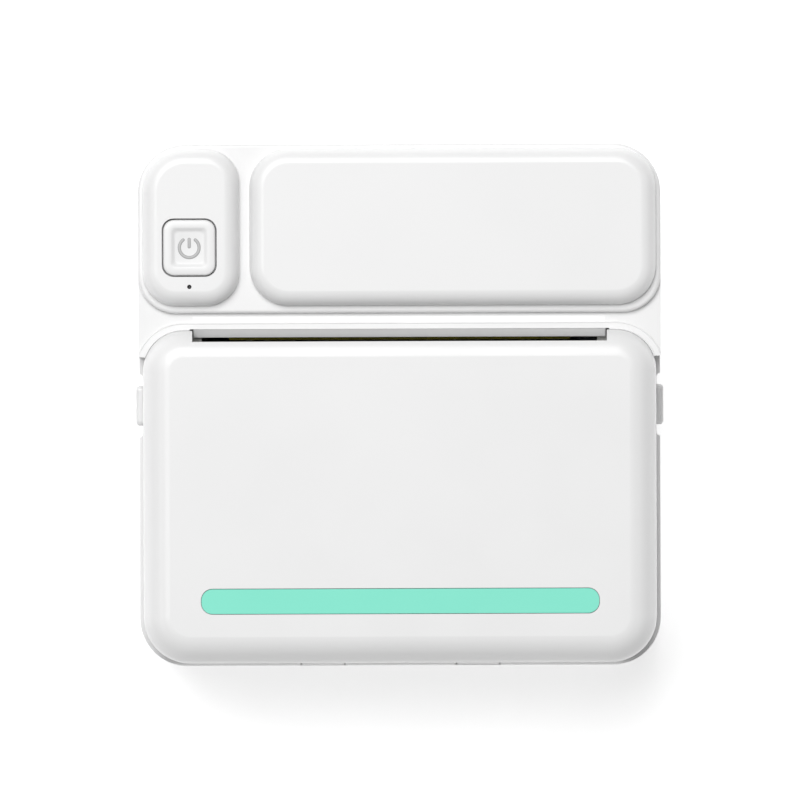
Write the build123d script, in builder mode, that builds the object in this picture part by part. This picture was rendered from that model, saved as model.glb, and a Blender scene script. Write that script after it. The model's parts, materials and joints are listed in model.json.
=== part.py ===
"""Portable label printer with a hinged paper cover, sprung release buttons and a geared platen roller.

It lies on its back on four feet: +X is to the right and +Y towards the pods as seen from the front,
+Z is out of the front face. The origin is at the middle of the footprint, on the table. Millimetres.
"""
from build123d import *
import math
import os

os.makedirs("parts", exist_ok=True)

# Case walls and corners
body_corner = 7.6
wall = 2.0
floor_wall = 1.8
foot_height = 1.0
front_depth = 22.0
back_round = 6.0

# Clearances
seam_gap = 0.25
slide_gap = 0.2
running_gap = 0.05
free_gap = 0.3

# Paper bay, and the room that the case leaves round it
bay_width = 58.8
bay_radius = 16.0
bay_wall = 1.3
bay_end_wall = 1.5
bay_rise = 0.2
bay_floor_gap = 0.1
bay_side_room = 10.45
bay_back_room = 3.85

# Lengths from the bay to the top edge
bay_to_bulkhead = 5.4
bulkhead_to_slot = 6.9
slot_to_seam = 1.8
valley_width = 2.7
plinth_margin = 1.2
pod_length = 24.8
pod_inset = 0.75

# Levels and faces that follow from them
floor_z = foot_height + floor_wall
parting_z = floor_z + bay_floor_gap + bay_wall + bay_radius - bay_rise
rear_depth = parting_z - foot_height
face_z = parting_z + front_depth
bay_z = parting_z + bay_rise
bay_outer_x = bay_width / 2 + bay_end_wall
side_x = bay_outer_x + bay_side_room
inner_x = side_x - wall
body_width = 2 * side_x
slot_from_back = wall + bay_back_room + bay_wall + 2 * bay_radius + bay_to_bulkhead + bulkhead_to_slot
body_length = slot_from_back + slot_to_seam + valley_width + plinth_margin + pod_length + pod_inset
top_y = body_length / 2
slot_edge_y = slot_from_back - top_y
bulkhead_y = slot_edge_y - bulkhead_to_slot
bay_y = bulkhead_y - bay_to_bulkhead - bay_radius
cover_top_y = slot_edge_y + slot_to_seam
plinth_bottom_y = cover_top_y + valley_width
pod_bottom_y = plinth_bottom_y + plinth_margin

# Front case: valley, plinth and two pods
skin = 1.8
valley_drop = 4.0
plinth_height = 1.2
valley_z = face_z - valley_drop
plinth_z = valley_z + plinth_height
ceiling_z = valley_z - skin
pod_ceiling_z = face_z - skin
valley_edge_round = 0.5
pod_round = 2.3
plinth_corner = 6.0
small_pod_width = 15.3
small_pod_corner = 5.3
small_pod_outer_corner = 6.8
small_pod_right_x = small_pod_width + pod_inset - side_x
pod_gap = 1.6
long_pod_left_x = small_pod_right_x + pod_gap
long_pod_corner = 6.2

# Paper cover
cover_inset = 0.75
cover_hinge_inset = 0.55
cover_edge_round = 4.2
cover_top_corner = 6.4
cover_bottom_corner = 7.4
cover_lip_z = valley_z + slide_gap
cover_skirt_end = 1.1
lip_width = 1.0
lip_height = 0.4
horn_length = 4.2
horn_y = cover_top_y - horn_length
cover_side_x = side_x - cover_inset
cover_inner_x = cover_side_x - wall
cover_skirt_open_half = cover_inner_x - cover_skirt_end
cover_bottom_y = cover_hinge_inset - top_y
cover_ceiling_z = face_z - skin

# Paper slot and tear bar
slot_gap = 0.7
apron_slope = 1.0
tear_margin = 0.4
tear_thick = 0.4
tear_pitch = 1.45
tear_depth = 0.55
tear_bar_width = 3.2

# Accent strip
strip_side_margin = 9.9
strip_end_margin = 10.35
strip_width = 3.9
strip_thick = 0.8
strip_corner = 1.75
strip_gap = 0.1
strip_length = 2 * (side_x - strip_side_margin)
strip_y = strip_end_margin - top_y

# Hinge
hinge_drop = 2.0
hinge_y = wall - top_y
hinge_z = parting_z - hinge_drop
hinge_x = 12.3
tab_width = 6.6
tab_radius = 1.9
notch_radius = 2.45
pin_radius = 0.75
pin_reach = 2.6
knuckle_width = 3.3

# Deck and bulkhead of the inner frame
bay_foot_half = 11.0
deck_thick = 1.4
deck_back_room = 3.45
deck_corner = 3.0
deck_edge_gap = 0.45
bulkhead_thick = 1.4
bulkhead_drop = 7.0

# Platen roller, its bushes, ears and cradles
platen_radius = 4.0
platen_margin = 0.9
platen_core_radius = 2.4
platen_rise = 13.5
journal_radius = 1.5
bush_radius = 2.5
bush_collar_radius = 3.1
bush_collar = 0.4
ear_thick = 1.5
ear_radius = 3.8
ear_gap = 0.5
cradle_thick = 1.5
cradle_rise = 1.5
cradle_reach = 4.3
cradle_leg = 2.6
cradle_plate_drop = 6.6

# Cover liner
liner_thick = 1.5
liner_drop = 2.5
liner_side_room = 2.6
liner_back_room = 5.35
liner_post_side_inset = 2.8
liner_post_end_inset = 4.7
liner_post_radius = 2.0
liner_screw_radius = 0.8
liner_corner = 3.0
ear_root = 9.0
guide_rib_pitch = 11.0
guide_rib_thick = 1.0
guide_rib_height = 2.2

# Gear train
coarse_module = 0.5
fine_module = 0.4
platen_teeth = 18
small_teeth = 14
wheel_teeth = 34
pinion_teeth = 12
backlash = 0.09
coarse_face = 1.5
fine_face = 1.2
plate_thick = 0.6
gear_step = 0.45
axle_radius = 0.75
wheel_hole_ring = 4.4
wheel_hole_radius = 1.1
motor_bearing = -69.5

# Stepper motor
motor_radius = 7.0
motor_length = 11.0
motor_flange = 0.8
motor_ear_reach = 8.0
motor_ear_radius = 1.4
motor_shaft_radius = 0.75
motor_ear_bearing = 45.0
motor_bearing_depth = 3.0
motor_plug_drop = 1.2
small_screw_radius = 0.5
small_screw_head = 0.95
small_screw_head_thick = 0.5

# Print head
head_margin = 2.4
ceramic_thick = 1.0
head_drop = 6.5
head_rise = 1.9
heatsink_thick = 2.0
head_lug_radius = 1.2
head_lug_rise = 2.0
head_spring_length = 3.6
head_spring_x = 17.0
bracket_thick = 0.8
bracket_drop = 3.0
bracket_ear = 2.9

# Coil springs
spring_radius = 1.5
spring_wire_radius = 0.25
spring_turns = 4

# Release buttons
button_half = 3.2
button_tip_round = 0.8
button_depth_half = 3.1
button_z = parting_z - 5.0
button_proud = 0.55
button_travel = 1.0
recess_half = 4.95
recess_depth = 0.55
recess_low_z = foot_height + 3.4
flange_thick = 1.0
flange_margin = 1.0
wedge_half = 1.8
wedge_reach = 0.7
wedge_top_z = parting_z - 1.1
wedge_low_z = button_z + 1.0
catch_top_z = parting_z + 7.0
button_spring_z = button_z - 1.2
button_spring_length = 3.75
spring_seat_thick = 1.0
spring_seat_half = 2.6

# Power key
key_shift = 0.25
key_above_pod_edge = 9.2
key_width = 8.3
key_length = 8.85
key_corner = 1.7
key_flange = 0.9
key_flange_margin = 0.8
key_travel = 0.5
key_dish_inset = 1.1
key_dish_depth = 0.25
key_stem_radius = 1.5
key_stem_length = 1.6
key_edge_round = 0.25
key_dish_slope = 50
plunger_radius = 1.4
plunger_height = 1.6
switch_size = 6.0
switch_height = 3.1
switch_rim = 0.6
lamp_above_pod_edge = 3.0
lamp_hole_radius = 0.35
pipe_radius = 0.6
lamp_height = 0.6

# Key board
key_board_half = 5.6
key_board_length = 15.5
key_post_radius = 1.3
key_post_x = 4.3
key_post_inset = 2.3
key_ledge_length = 4.0
key_ledge_reach = 1.8

# Main board and battery
board_thick = 1.2
board_left_gap = 0.8
board_motor_gap = 4.3
board_back_room = 0.95
board_post_inset = 2.0
board_post_radius = 1.6
board_screw_radius = 0.7
board_post_depth = 5.0
battery_thick = 7.4
battery_tape = 0.3
battery_corner = 2.0
battery_side_inset = 2.4
battery_end_inset = 5.0
battery_head_room = 1.5
usb_width = 8.9
usb_height = 3.2
usb_depth = 7.4
usb_wall = 0.3
usb_x = -6.0
usb_sink = 0.9
usb_tongue_root = 1.2
usb_tongue_width = 6.7
usb_tongue_thick = 0.7
flex_width = 16.0
flex_thick = 0.25
flex_bend = 2.0
connector_height = 1.6
connector_depth = 2.4
connector_inset = 0.8
sensor_x = 12.0
sensor_length = 5.0
sensor_width = 2.6
sensor_height = 2.0

# Board components: place from the board's middle, then length, width and height
processor = (4.5, 0.8, 7.0, 7.0, 0.9)
memory_chip = (16.0, 2.8, 5.0, 4.0, 0.8)
power_coil = (15.5, -4.2, 4.0, 4.0, 1.8)
motor_driver = (-8.5, -4.2, 6.0, 5.0, 1.2)
battery_connector = (-15.5, 4.8, 6.0, 4.5, 3.0)

# Case screws and feet
post_end_inset = 7.55
post_radius = 2.5
post_foot_radius = 3.1
post_joint_z = 12.0
screw_radius = 1.1
screw_head_radius = 2.1
screw_head_height = 1.8
screw_sink = 3.2
screw_reach = 6.0
foot_radius = 4.0
foot_side_inset = 17.35
foot_end_inset = 10.35
foot_sink = 0.4

# Roller, cradles and print head, from the slot's edge and the bay's ends
platen_length = bay_width - 2 * platen_margin
platen_y = slot_edge_y - platen_radius
platen_z = parting_z + platen_rise
ear_x = platen_length / 2 + 2 * bush_collar
cradle_x = ear_x + ear_thick + ear_gap
cradle_outer_x = cradle_x + cradle_thick
cradle_top_z = platen_z + cradle_rise
cradle_plate_z = platen_z - cradle_plate_drop
bulkhead_top_z = platen_z - bulkhead_drop
slot_width = 2 * cradle_outer_x
tear_width = bay_width - 2 * tear_margin
head_half = bay_width / 2 - head_margin
head_bottom_z = platen_z - head_drop
head_top_z = platen_z + head_rise
head_lug_z = head_bottom_z + head_lug_rise
head_y = slot_edge_y + free_gap
heatsink_y = head_y + ceramic_thick
heatsink_back_y = heatsink_y + heatsink_thick
bracket_y = heatsink_back_y + head_spring_length
bracket_bottom_z = platen_z - bracket_drop
cradle_front_y = platen_y - cradle_reach
cradle_back_y = bracket_y + bracket_thick
apron_y = slot_edge_y + slot_gap
tear_bar_y = apron_y + tear_bar_width

# Cover liner and deck
liner_half = cover_inner_x - liner_side_room
liner_bottom_y = wall + liner_back_room - top_y
liner_top_y = platen_y - platen_radius - slot_gap
liner_mid_y = (liner_bottom_y + liner_top_y) / 2
liner_post_x = liner_half - liner_post_side_inset
liner_post_y = (liner_top_y - liner_bottom_y) / 2 - liner_post_end_inset
deck_bottom_y = wall + deck_back_room - top_y
deck_top_y = bulkhead_y + bulkhead_thick
deck_waist_y = -button_half - flange_margin - 4 * free_gap

# Power key and its board
key_x = (small_pod_right_x + pod_inset - side_x) / 2 - key_shift
key_y = pod_bottom_y + key_above_pod_edge
lamp_y = pod_bottom_y + lamp_above_pod_edge
key_board_bottom_y = cradle_back_y + free_gap
key_board_top_y = key_board_bottom_y + key_board_length
key_post_y = key_board_top_y - key_post_inset

# Main board and battery
board_left_x = board_left_gap - cradle_x
board_right_x = cradle_outer_x - motor_length - board_motor_gap
board_bottom_y = heatsink_back_y + 2 * free_gap
board_top_y = top_y - wall - board_back_room
board_mid_x = (board_left_x + board_right_x) / 2
board_mid_y = (board_bottom_y + board_top_y) / 2
board_z = floor_z + battery_tape + battery_thick + battery_head_room
battery_length = board_right_x - board_left_x - 2 * battery_end_inset
battery_width = board_top_y - board_bottom_y - 2 * battery_side_inset
connector_front_y = board_bottom_y + connector_inset

# Posts and feet
post_x = bay_outer_x + post_foot_radius + slide_gap
post_y = top_y - post_end_inset
foot_x = side_x - foot_side_inset
foot_y = top_y - foot_end_inset

# Places that several pieces share
lift = Vector(hinge_z - platen_z, platen_y - hinge_y).normalized()
coarse_distance = coarse_module * (platen_teeth + small_teeth) / 2
fine_distance = fine_module * (wheel_teeth + pinion_teeth) / 2
axle_y = platen_y - lift.X * coarse_distance
axle_z = platen_z - lift.Y * coarse_distance
motor_y = axle_y + fine_distance * math.cos(math.radians(motor_bearing))
motor_z = axle_z + fine_distance * math.sin(math.radians(motor_bearing))
lift_angle = math.degrees(math.atan2(lift.Y, lift.X))
plate_outer_x = cradle_outer_x + plate_thick
gear_x = plate_outer_x + seam_gap
wheel_x = gear_x + coarse_face + gear_step
seam_y = cover_top_y + slide_gap
liner_top_z = cover_ceiling_z - liner_drop
flange_x = inner_x - slide_gap
spring_seat_x = flange_x - flange_thick - button_spring_length
button_tip_x = side_x + button_proud
wedge_x = flange_x - flange_thick - wedge_reach
catch_low_z = wedge_top_z - flange_thick - wedge_reach + button_travel + free_gap
key_flange_z = pod_ceiling_z - free_gap - key_flange
key_stem_bottom_z = key_flange_z - key_stem_length
switch_top_z = key_stem_bottom_z - key_travel - free_gap
key_board_z = switch_top_z - switch_height - board_thick
key_post_places = [(key_x - key_post_x, key_post_y), (key_x + key_post_x, key_post_y)]
corner_signs = [(-1, -1), (-1, 1), (1, -1), (1, 1)]
post_places = [(sx * post_x, sy * post_y) for sx, sy in corner_signs]
foot_places = [(sx * foot_x, sy * foot_y) for sx, sy in corner_signs]
liner_posts = [(sx * liner_post_x, liner_mid_y + sy * liner_post_y) for sx, sy in corner_signs]
board_posts = [
    (x, y)
    for x in (board_left_x + board_post_inset, board_right_x - board_post_inset)
    for y in (board_bottom_y + board_post_inset, board_top_y - board_post_inset)
]
usb_z = board_z + board_thick + usb_height / 2
usb_mouth_y = top_y - usb_sink
flex_z = board_z + board_thick + connector_height / 2
deck_top_z = parting_z
deck_half = inner_x - deck_edge_gap
cover_low_z = parting_z + seam_gap
slot_reach = 5 * bush_radius
head_lug_y = heatsink_y + heatsink_thick / 2
bracket_mid_z = (bracket_bottom_z + cradle_top_z) / 2
head_spring_z = bracket_bottom_z + spring_radius + 2 * spring_wire_radius
head_window_left = cradle_outer_x + 2 * free_gap
head_window_right = cover_inner_x - free_gap
coarse_turn = lift_angle + 180
frame_screw_places = [
    (cradle_front_y + small_screw_radius + small_screw_head, cradle_plate_z + motor_ear_radius),
    (cradle_back_y - motor_ear_radius, cradle_top_z - motor_ear_radius),
]
motor_screw_places = [
    (
        motor_y + side * motor_ear_reach * math.cos(math.radians(motor_ear_bearing)),
        motor_z + side * motor_ear_reach * math.sin(math.radians(motor_ear_bearing)),
    )
    for side in (-1, 1)
]

# How a rectangle lies on its place
from_corner = (Align.MIN, Align.MIN)
above_place = (Align.CENTER, Align.MIN)
below_place = (Align.CENTER, Align.MAX)


def soft_rectangle(left, right, bottom, top, bottom_corner, top_corner):
    """A rectangle whose lower corners and upper corners have their own radii."""
    with BuildSketch() as shape:
        with Locations(((left + right) / 2, (bottom + top) / 2)):
            Rectangle(right - left, top - bottom)
        fillet(shape.vertices().group_by(Axis.Y)[0], bottom_corner)
        fillet(shape.vertices().group_by(Axis.Y)[-1], top_corner)
    return shape.sketch


def grown(shape, amount):
    """The same outline, moved outwards or inwards all round."""
    with BuildSketch() as result:
        add(shape)
        offset(amount=amount)
    return result.sketch


def side_plane(x, y=0.0, z=0.0):
    """A plane across the width: its own x is the part's +Y and its own y is the part's +Z."""
    return Plane(origin=(x, y, z), x_dir=(0, 1, 0), z_dir=(1, 0, 0))


def finish(builder, name):
    """Name a finished piece and write its file."""
    builder.part.label = name
    export_step(builder.part, f"parts/{name}.step")


def tooth_points(module, teeth):
    """The outline of one involute tooth that points along +x, from inside its root circle."""
    pressure = math.radians(20)
    pitch_radius = module * teeth / 2
    base_radius = pitch_radius * math.cos(pressure)
    tip_radius = pitch_radius + 0.8 * module
    half_angle = (math.pi * module / 2 - backlash) / 2 / pitch_radius
    pitch_involute = math.tan(pressure) - pressure
    flank = []
    for step in range(4):
        radius = base_radius + (tip_radius - base_radius) * step / 3
        roll = math.acos(min(1.0, base_radius / radius))
        angle = half_angle + pitch_involute - (math.tan(roll) - roll)
        flank.append((radius * math.cos(angle), radius * math.sin(angle)))
    start = (0.75 * base_radius, 0.75 * flank[0][1])
    upper = [start] + flank
    return upper + [(x, -y) for x, y in reversed(upper)]


def gear_profile(module, teeth, turn):
    """Draw a spur gear on the current sketch, with a tooth at the given angle."""
    Circle(module * teeth / 2 - 1.15 * module)
    with PolarLocations(0, teeth, start_angle=turn):
        Polygon(*tooth_points(module, teeth), align=None)


def coil_spring(start, direction, length):
    """A coil spring that fills the length between two seats."""
    end_space = spring_wire_radius + running_gap / 2
    height = length - 2 * end_space
    wire_start = Vector(start) + Vector(direction) * end_space
    with BuildPart() as spring:
        with BuildLine() as path:
            Helix(
                pitch=height / spring_turns,
                height=height,
                radius=spring_radius,
                center=wire_start,
                direction=direction,
            )
        with BuildSketch(Plane(origin=path.line @ 0, z_dir=path.line % 0)):
            RegularPolygon(spring_wire_radius, 6)
        sweep(is_frenet=True)
    return spring


# Outlines seen from the front
body_outline = soft_rectangle(-side_x, side_x, -top_y, top_y, body_corner, body_corner)
body_inside = grown(body_outline, -wall)
cover_outline = soft_rectangle(
    -cover_side_x, cover_side_x, cover_bottom_y, cover_top_y, cover_bottom_corner, cover_top_corner
)
cover_inside = grown(cover_outline, -wall)
seam_outline = grown(cover_outline, slide_gap)
lip_outline = grown(cover_outline, slide_gap + lip_width)
plinth_outline = soft_rectangle(-side_x, side_x, plinth_bottom_y, top_y, plinth_corner, body_corner)
long_pod_outline = soft_rectangle(
    long_pod_left_x, side_x - pod_inset, pod_bottom_y, top_y - pod_inset, long_pod_corner, long_pod_corner
)
with BuildSketch() as small_pod_shape:
    with Locations(((small_pod_right_x + pod_inset - side_x) / 2, (pod_bottom_y + top_y - pod_inset) / 2)):
        Rectangle(small_pod_right_x - pod_inset + side_x, top_y - pod_inset - pod_bottom_y)
    outer_corner = small_pod_shape.vertices().sort_by(Axis.X)[:2].sort_by(Axis.Y)[-1]
    fillet(outer_corner, small_pod_outer_corner)
    sharp_corners = [
        v for v in small_pod_shape.vertices() if v.X > small_pod_right_x - 1 or v.Y < pod_bottom_y + 1
    ]
    fillet(sharp_corners, small_pod_corner)
small_pod_outline = small_pod_shape.sketch
key_outline = soft_rectangle(
    key_x - key_width / 2,
    key_x + key_width / 2,
    key_y - key_length / 2,
    key_y + key_length / 2,
    key_corner,
    key_corner,
)

# Rear case: a rounded tray with hinge knuckles, finger recesses, button windows and posts
with BuildPart() as rear_case:
    with BuildSketch(Plane.XY.offset(foot_height)):
        add(body_outline)
    extrude(amount=rear_depth)
    fillet(rear_case.faces().sort_by(Axis.Z)[0].edges(), back_round)
    with BuildSketch(Plane.XY.offset(floor_z)):
        add(body_inside)
    extrude(amount=rear_depth, mode=Mode.SUBTRACT)
    fillet(rear_case.faces().filter_by(Axis.Z).group_by(Axis.Z)[1].edges(), back_round - wall)

    # A finger recess, a button window and a spring seat on each side
    for side in (-1, 1):
        with BuildSketch(Plane.XY.offset(recess_low_z)):
            with Locations((side * side_x, 0)):
                RectangleRounded(2 * recess_depth, 2 * recess_half, recess_depth - 0.01)
        extrude(amount=rear_depth, mode=Mode.SUBTRACT)
        with BuildSketch(side_plane(side * (inner_x - slide_gap), 0, button_z)):
            RectangleRounded(
                2 * (button_half + slide_gap), 2 * (button_depth_half + slide_gap), button_tip_round
            )
        extrude(amount=side * 2 * wall, mode=Mode.SUBTRACT)
        with Locations((side * (spring_seat_x - spring_seat_thick / 2), 0, floor_z)):
            Box(
                spring_seat_thick,
                2 * spring_seat_half,
                button_spring_z + 2 * spring_radius - floor_z,
                align=(Align.CENTER, Align.CENTER, Align.MIN),
            )

    # Knuckles inside the back wall, a rim rounded about the hinge axis, a notch for each tab
    with BuildSketch(Plane.XY.offset(parting_z)):
        with Locations((-hinge_x, hinge_y), (hinge_x, hinge_y)):
            Rectangle(tab_width + 2 * (free_gap + knuckle_width), notch_radius, align=above_place)
    extrude(amount=-hinge_drop - notch_radius)
    with BuildSketch(side_plane(-side_x, hinge_y, hinge_z)):
        Rectangle(2 * hinge_drop, 2 * hinge_drop, align=(Align.MAX, Align.MIN))
        Circle(hinge_drop, mode=Mode.SUBTRACT)
    extrude(amount=body_width, mode=Mode.SUBTRACT)
    with BuildSketch(Plane.XY.offset(parting_z)):
        with Locations((-hinge_x, hinge_y), (hinge_x, hinge_y)):
            Rectangle(tab_width + 2 * free_gap, 2 * notch_radius)
    extrude(amount=-hinge_drop - notch_radius, mode=Mode.SUBTRACT)
    for x in (-hinge_x, hinge_x):
        with BuildSketch(side_plane(x - tab_width / 2 - free_gap - pin_reach, hinge_y, hinge_z)):
            Circle(pin_radius)
        extrude(amount=tab_width + 2 * (free_gap + pin_reach), mode=Mode.SUBTRACT)

    # Posts for the case screws and the main board, foot recesses
    with BuildSketch(Plane.XY.offset(floor_z)):
        with Locations(*post_places):
            Circle(post_foot_radius)
        with Locations(*board_posts):
            Circle(board_post_radius)
    extrude(amount=post_joint_z - floor_z)
    with BuildSketch(Plane.XY.offset(board_z)):
        with Locations(*board_posts):
            Circle(board_screw_radius)
    extrude(amount=-board_post_depth, mode=Mode.SUBTRACT)
    with BuildSketch(Plane.XY.offset(foot_height)):
        with Locations(*post_places):
            Circle(screw_head_radius + slide_gap)
    extrude(amount=screw_sink, mode=Mode.SUBTRACT)
    with BuildSketch(Plane.XY.offset(foot_height)):
        with Locations(*post_places):
            Circle(screw_radius + slide_gap)
    extrude(amount=post_joint_z, mode=Mode.SUBTRACT)
    with BuildSketch(Plane.XY.offset(foot_height)):
        with Locations(*foot_places):
            Circle(foot_radius)
    extrude(amount=foot_sink, mode=Mode.SUBTRACT)

    # Opening for the charging socket
    with BuildSketch(Plane(origin=(usb_x, top_y, usb_z), x_dir=(1, 0, 0), z_dir=(0, -1, 0))):
        RectangleRounded(usb_width + 2 * slide_gap, usb_height + 2 * slide_gap, usb_height / 2)
    extrude(amount=2 * wall, mode=Mode.SUBTRACT)
finish(rear_case, "rear_case")

# Front case: valley, plinth, two pods, the lip along the cover and the apron over the print head
with BuildPart() as front_case:
    with BuildSketch(Plane.XY.offset(parting_z)):
        add(body_outline)
        add(seam_outline, mode=Mode.SUBTRACT)
        with Locations((0, horn_y)):
            Rectangle(2 * body_width, body_length, align=below_place, mode=Mode.SUBTRACT)
    extrude(amount=valley_z - parting_z)
    with BuildSketch(Plane.XY.offset(parting_z)):
        add(plinth_outline)
    extrude(amount=plinth_z - parting_z)
    fillet(front_case.faces().sort_by(Axis.Z)[-1].edges(), valley_edge_round)
    with BuildSketch(Plane.XY.offset(plinth_z)):
        add(small_pod_outline)
        add(long_pod_outline)
    extrude(amount=face_z - plinth_z)
    fillet(front_case.faces().filter_by(Axis.Z).group_by(Axis.Z)[-1].edges(), pod_round)
    with BuildSketch(Plane.XY.offset(valley_z)):
        add(lip_outline)
        add(seam_outline, mode=Mode.SUBTRACT)
        add(body_outline, mode=Mode.INTERSECT)
        with Locations((0, horn_y)):
            Rectangle(2 * body_width, body_length, align=below_place, mode=Mode.SUBTRACT)
    extrude(amount=lip_height)

    # Hollow of the case and of each pod
    with BuildSketch(Plane.XY.offset(parting_z)):
        add(body_inside)
        with Locations((0, seam_y + wall)):
            Rectangle(2 * body_width, body_length, align=below_place, mode=Mode.SUBTRACT)
    extrude(amount=ceiling_z - parting_z, mode=Mode.SUBTRACT)
    with BuildSketch(Plane.XY.offset(ceiling_z)):
        add(grown(small_pod_outline, -wall))
        add(grown(long_pod_outline, -wall))
    extrude(amount=pod_ceiling_z - ceiling_z, mode=Mode.SUBTRACT)

    # Way through the wall for the print head and the gears, then the sloping apron above it
    with BuildSketch(Plane.XY.offset(parting_z)):
        with Locations(((head_window_right - head_window_left) / 2, seam_y + wall)):
            Rectangle(head_window_left + head_window_right, 2 * wall, align=below_place)
    extrude(amount=ceiling_z - parting_z, mode=Mode.SUBTRACT)
    with BuildSketch(side_plane(slide_gap - slot_width / 2)):
        Polygon(
            (seam_y + wall, ceiling_z),
            (apron_y, ceiling_z),
            (apron_y, valley_z - apron_slope),
            (seam_y, valley_z + slide_gap),
            (seam_y + wall, valley_z),
            align=None,
        )
    extrude(amount=slot_width - 2 * slide_gap)

    # Key window, indicator hole and posts
    with BuildSketch(Plane.XY.offset(face_z)):
        add(grown(key_outline, slide_gap))
        with Locations((key_x, lamp_y)):
            Circle(lamp_hole_radius)
    extrude(amount=-2 * skin, mode=Mode.SUBTRACT)
    with BuildSketch(Plane.XY.offset(post_joint_z)):
        with Locations((-post_x, post_y), (post_x, post_y)):
            Circle(post_radius)
            Circle(screw_radius, mode=Mode.SUBTRACT)
    extrude(amount=pod_ceiling_z - post_joint_z)
    with BuildSketch(Plane.XY.offset(key_board_z + board_thick)):
        with Locations(*key_post_places):
            Circle(key_post_radius)
            Circle(board_screw_radius, mode=Mode.SUBTRACT)
    extrude(amount=pod_ceiling_z - key_board_z - board_thick)

    # Ledge under the free end of the key board
    with BuildSketch(Plane.XY.offset(key_board_z)):
        with Locations((-inner_x, key_board_bottom_y)):
            Rectangle(key_ledge_reach, key_ledge_length, align=from_corner)
    extrude(amount=-key_ledge_reach)
finish(front_case, "front_case")

# Inner frame: paper bay, deck, bulkhead and the two cradles that carry the roller and the head
with BuildPart() as inner_frame:
    with BuildSketch(side_plane(-bay_outer_x)):
        with Locations((bay_y, bay_z)):
            Circle(bay_radius + bay_wall)
        with Locations((bay_y, deck_top_z)):
            Rectangle(4 * bay_radius, 2 * bay_radius, align=above_place, mode=Mode.SUBTRACT)
    extrude(amount=2 * bay_outer_x)
    with BuildSketch(Plane.XY.offset(deck_top_z)) as deck_shape:
        with Locations((0, deck_bottom_y)):
            Rectangle(2 * deck_half, deck_waist_y - deck_bottom_y, align=above_place)
        fillet(deck_shape.vertices().group_by(Axis.Y)[0], deck_corner)
        with Locations((0, deck_waist_y)):
            Rectangle(2 * cradle_outer_x, deck_top_y - deck_waist_y, align=above_place)
    extrude(amount=-deck_thick)
    with BuildSketch(side_plane(-bay_width / 2)):
        with Locations((bay_y, bay_z)):
            Circle(bay_radius)
    extrude(amount=bay_width, mode=Mode.SUBTRACT)
    for left in (-bay_outer_x, bay_width / 2):
        with BuildSketch(side_plane(left)):
            with Locations((bay_y, floor_z)):
                Rectangle(2 * bay_foot_half, bay_radius, align=above_place)
        extrude(amount=bay_end_wall)

    # Bulkhead with a rounded top that the paper runs over
    with BuildSketch(side_plane(-bay_width / 2)) as bulkhead_shape:
        with Locations((bulkhead_y, deck_top_z - deck_thick)):
            Rectangle(bulkhead_thick, bulkhead_top_z - deck_top_z + deck_thick, align=from_corner)
        fillet(bulkhead_shape.vertices().group_by(Axis.Y)[-1], bulkhead_thick / 2 - 0.01)
    extrude(amount=bay_width)

    # Cradles: a leg to the floor and a plate with an open slot for the bush and a hole for the head's lug
    for left in (-cradle_outer_x, cradle_x):
        with BuildSketch(side_plane(left)):
            with Locations((cradle_front_y, floor_z)):
                Rectangle(cradle_leg, cradle_plate_z - floor_z, align=from_corner)
            with Locations((cradle_front_y, cradle_plate_z)):
                Rectangle(cradle_back_y - cradle_front_y, cradle_top_z - cradle_plate_z, align=from_corner)
            with Locations((platen_y, platen_z)):
                Circle(bush_radius + free_gap, mode=Mode.SUBTRACT)
            with Locations((platen_y + slot_reach * lift.X / 2, platen_z + slot_reach * lift.Y / 2)):
                Rectangle(slot_reach, 2 * (bush_radius + free_gap), rotation=lift_angle, mode=Mode.SUBTRACT)
            with Locations((head_lug_y, head_lug_z)):
                Circle(head_lug_radius, mode=Mode.SUBTRACT)
            with Locations(*frame_screw_places):
                Circle(small_screw_radius, mode=Mode.SUBTRACT)
        extrude(amount=cradle_thick)

    # Screw posts under the deck
    with BuildSketch(Plane.XY.offset(post_joint_z)):
        with Locations((-post_x, -post_y), (post_x, -post_y)):
            Circle(post_radius)
            Circle(screw_radius, mode=Mode.SUBTRACT)
    extrude(amount=deck_top_z - deck_thick - post_joint_z)
finish(inner_frame, "inner_frame")

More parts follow.
